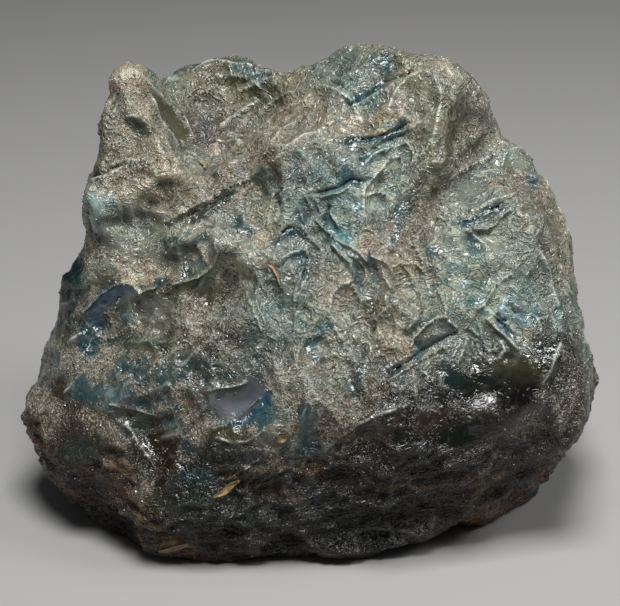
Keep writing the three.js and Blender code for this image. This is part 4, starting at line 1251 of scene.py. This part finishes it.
# %% Crystals of each colour
blueness = step(-0.02, 0.035, crust[:, 2] - crust[:, 0] + 0.02)
lightness = crust.mean(1)
dark = step(0.14, 0.06, lightness)
GRAINS = [
    ("grains_pale", 5000, (0.3, 0.55), 0.3 + (1 - dark) * 1.0, (186, 180, 164), 0.15, 1),
    ("grains_tan", 9000, (0.35, 0.6), (1 - blueness) * (1 - dark) + 0.03, (140, 130, 112), 0.3, 2),
    ("grains_slate", 8000, (0.35, 0.6), blueness * (1 - dark) + 0.03, (114, 124, 120), 0.3, 3),
    ("grains_brown", 6000, (0.35, 0.65), dark + 0.02, (96, 82, 68), 0.25, 4),
]
for name, count, sizes, weight, tone, gloss, seed in GRAINS:
    grown = crystals(name, count, sizes, weight, seed)
    grain_finish = Finish(name)
    tint = grain_finish.noise(grain_finish.millimetres(), 2.0, 2.0)
    light, deep = colour(*tone), colour(*(0.75 * v for v in tone))
    mixed = grain_finish.mix(tint.ramp(0.4, 0.6), deep, light)
    grain_finish.put(grain_finish.shader.inputs["Base Color"], mixed)
    grain_finish.put(grain_finish.shader.inputs["Roughness"], tint * 0.3 + (gloss - 0.15))
    grain_finish.shader.inputs["IOR"].default_value = 1.63
    grown.data.materials.append(grain_finish.material)


# %% [markdown]
# ## Straw and chips
# Three slivers of dry straw and two small chips, a yellow and an ochre one, are stuck to the crust. They
# could be painted on, but a thin edge that throws a shadow is what makes them read as straw. Each is a
# strip laid along its own line on the stone, widest in the middle, with its long edges a little raised.

# %% Straw and chips
BITS = [
    ("straw_below", 1.5, (166, 142, 92), [(213, 496), (224, 490), (232, 483), (240, 478)]),
    ("straw_middle", 1.1, (172, 144, 112), [(267, 262), (275, 267), (279, 275), (281, 284)]),
    ("straw_foot", 1.2, (142, 120, 80), [(160, 548), (174, 545), (188, 541)]),
    ("chip_yellow", 2.0, (150, 142, 114), [(197, 163), (203, 165), (207, 170)]),
    ("chip_ochre", 1.8, (168, 134, 90), [(278, 440), (282, 437), (287, 434)]),
]
STEPS_ALONG, STEPS_ACROSS = 12, 4
for name, width, tone, seen in BITS:
    line = path(seen)
    along = np.concatenate([[0], np.cumsum(np.linalg.norm(np.diff(line, axis=0), axis=1))])
    strip = bmesh.new()
    bmesh.ops.create_grid(strip, x_segments=STEPS_ALONG, y_segments=STEPS_ACROSS, size=1.0)
    for v in strip.verts:
        share, side = 0.5 + 0.5 * v.co.x, v.co.y
        on_line = np.array([np.interp(share * along[-1], along, line[:, k]) for k in range(3)])
        _, out, _, _ = SURFACE.find_nearest(Vector(on_line * MM))
        across = out.cross(Vector(line[-1] - line[0])).normalized()
        taper = math.sin(math.pi * min(max(share, 0.06), 0.94)) ** 0.6
        lifted = 0.9 + 0.25 * side * side + 0.15 * math.sin(7 * share)
        v.co = Vector(on_line * MM) + (across * (0.5 * width * side * taper) + out * lifted) * MM
    whole = strip.faces[:]
    bmesh.ops.solidify(strip, geom=whole, thickness=0.25 * MM)
    mesh = bpy.data.meshes.new(name)
    strip.to_mesh(mesh)
    strip.free()
    bit = bpy.data.objects.new(name, mesh)
    bpy.context.scene.collection.objects.link(bit)
    dry = Finish(name)
    fibre = dry.noise(dry.millimetres(), 1.2, 3.0)
    light, deep = colour(*tone), colour(*(0.7 * v for v in tone))
    dry.put(dry.shader.inputs["Base Color"], dry.mix(fibre.ramp(0.35, 0.65), deep, light))
    dry.put(dry.shader.inputs["Roughness"], fibre * 0.3 + 0.35)
    mesh.materials.append(dry.material)
    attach(bit, "root")
    print(name, len(mesh.polygons), "faces")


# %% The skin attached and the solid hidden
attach(skin, "root")
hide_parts("apatite_boulder")
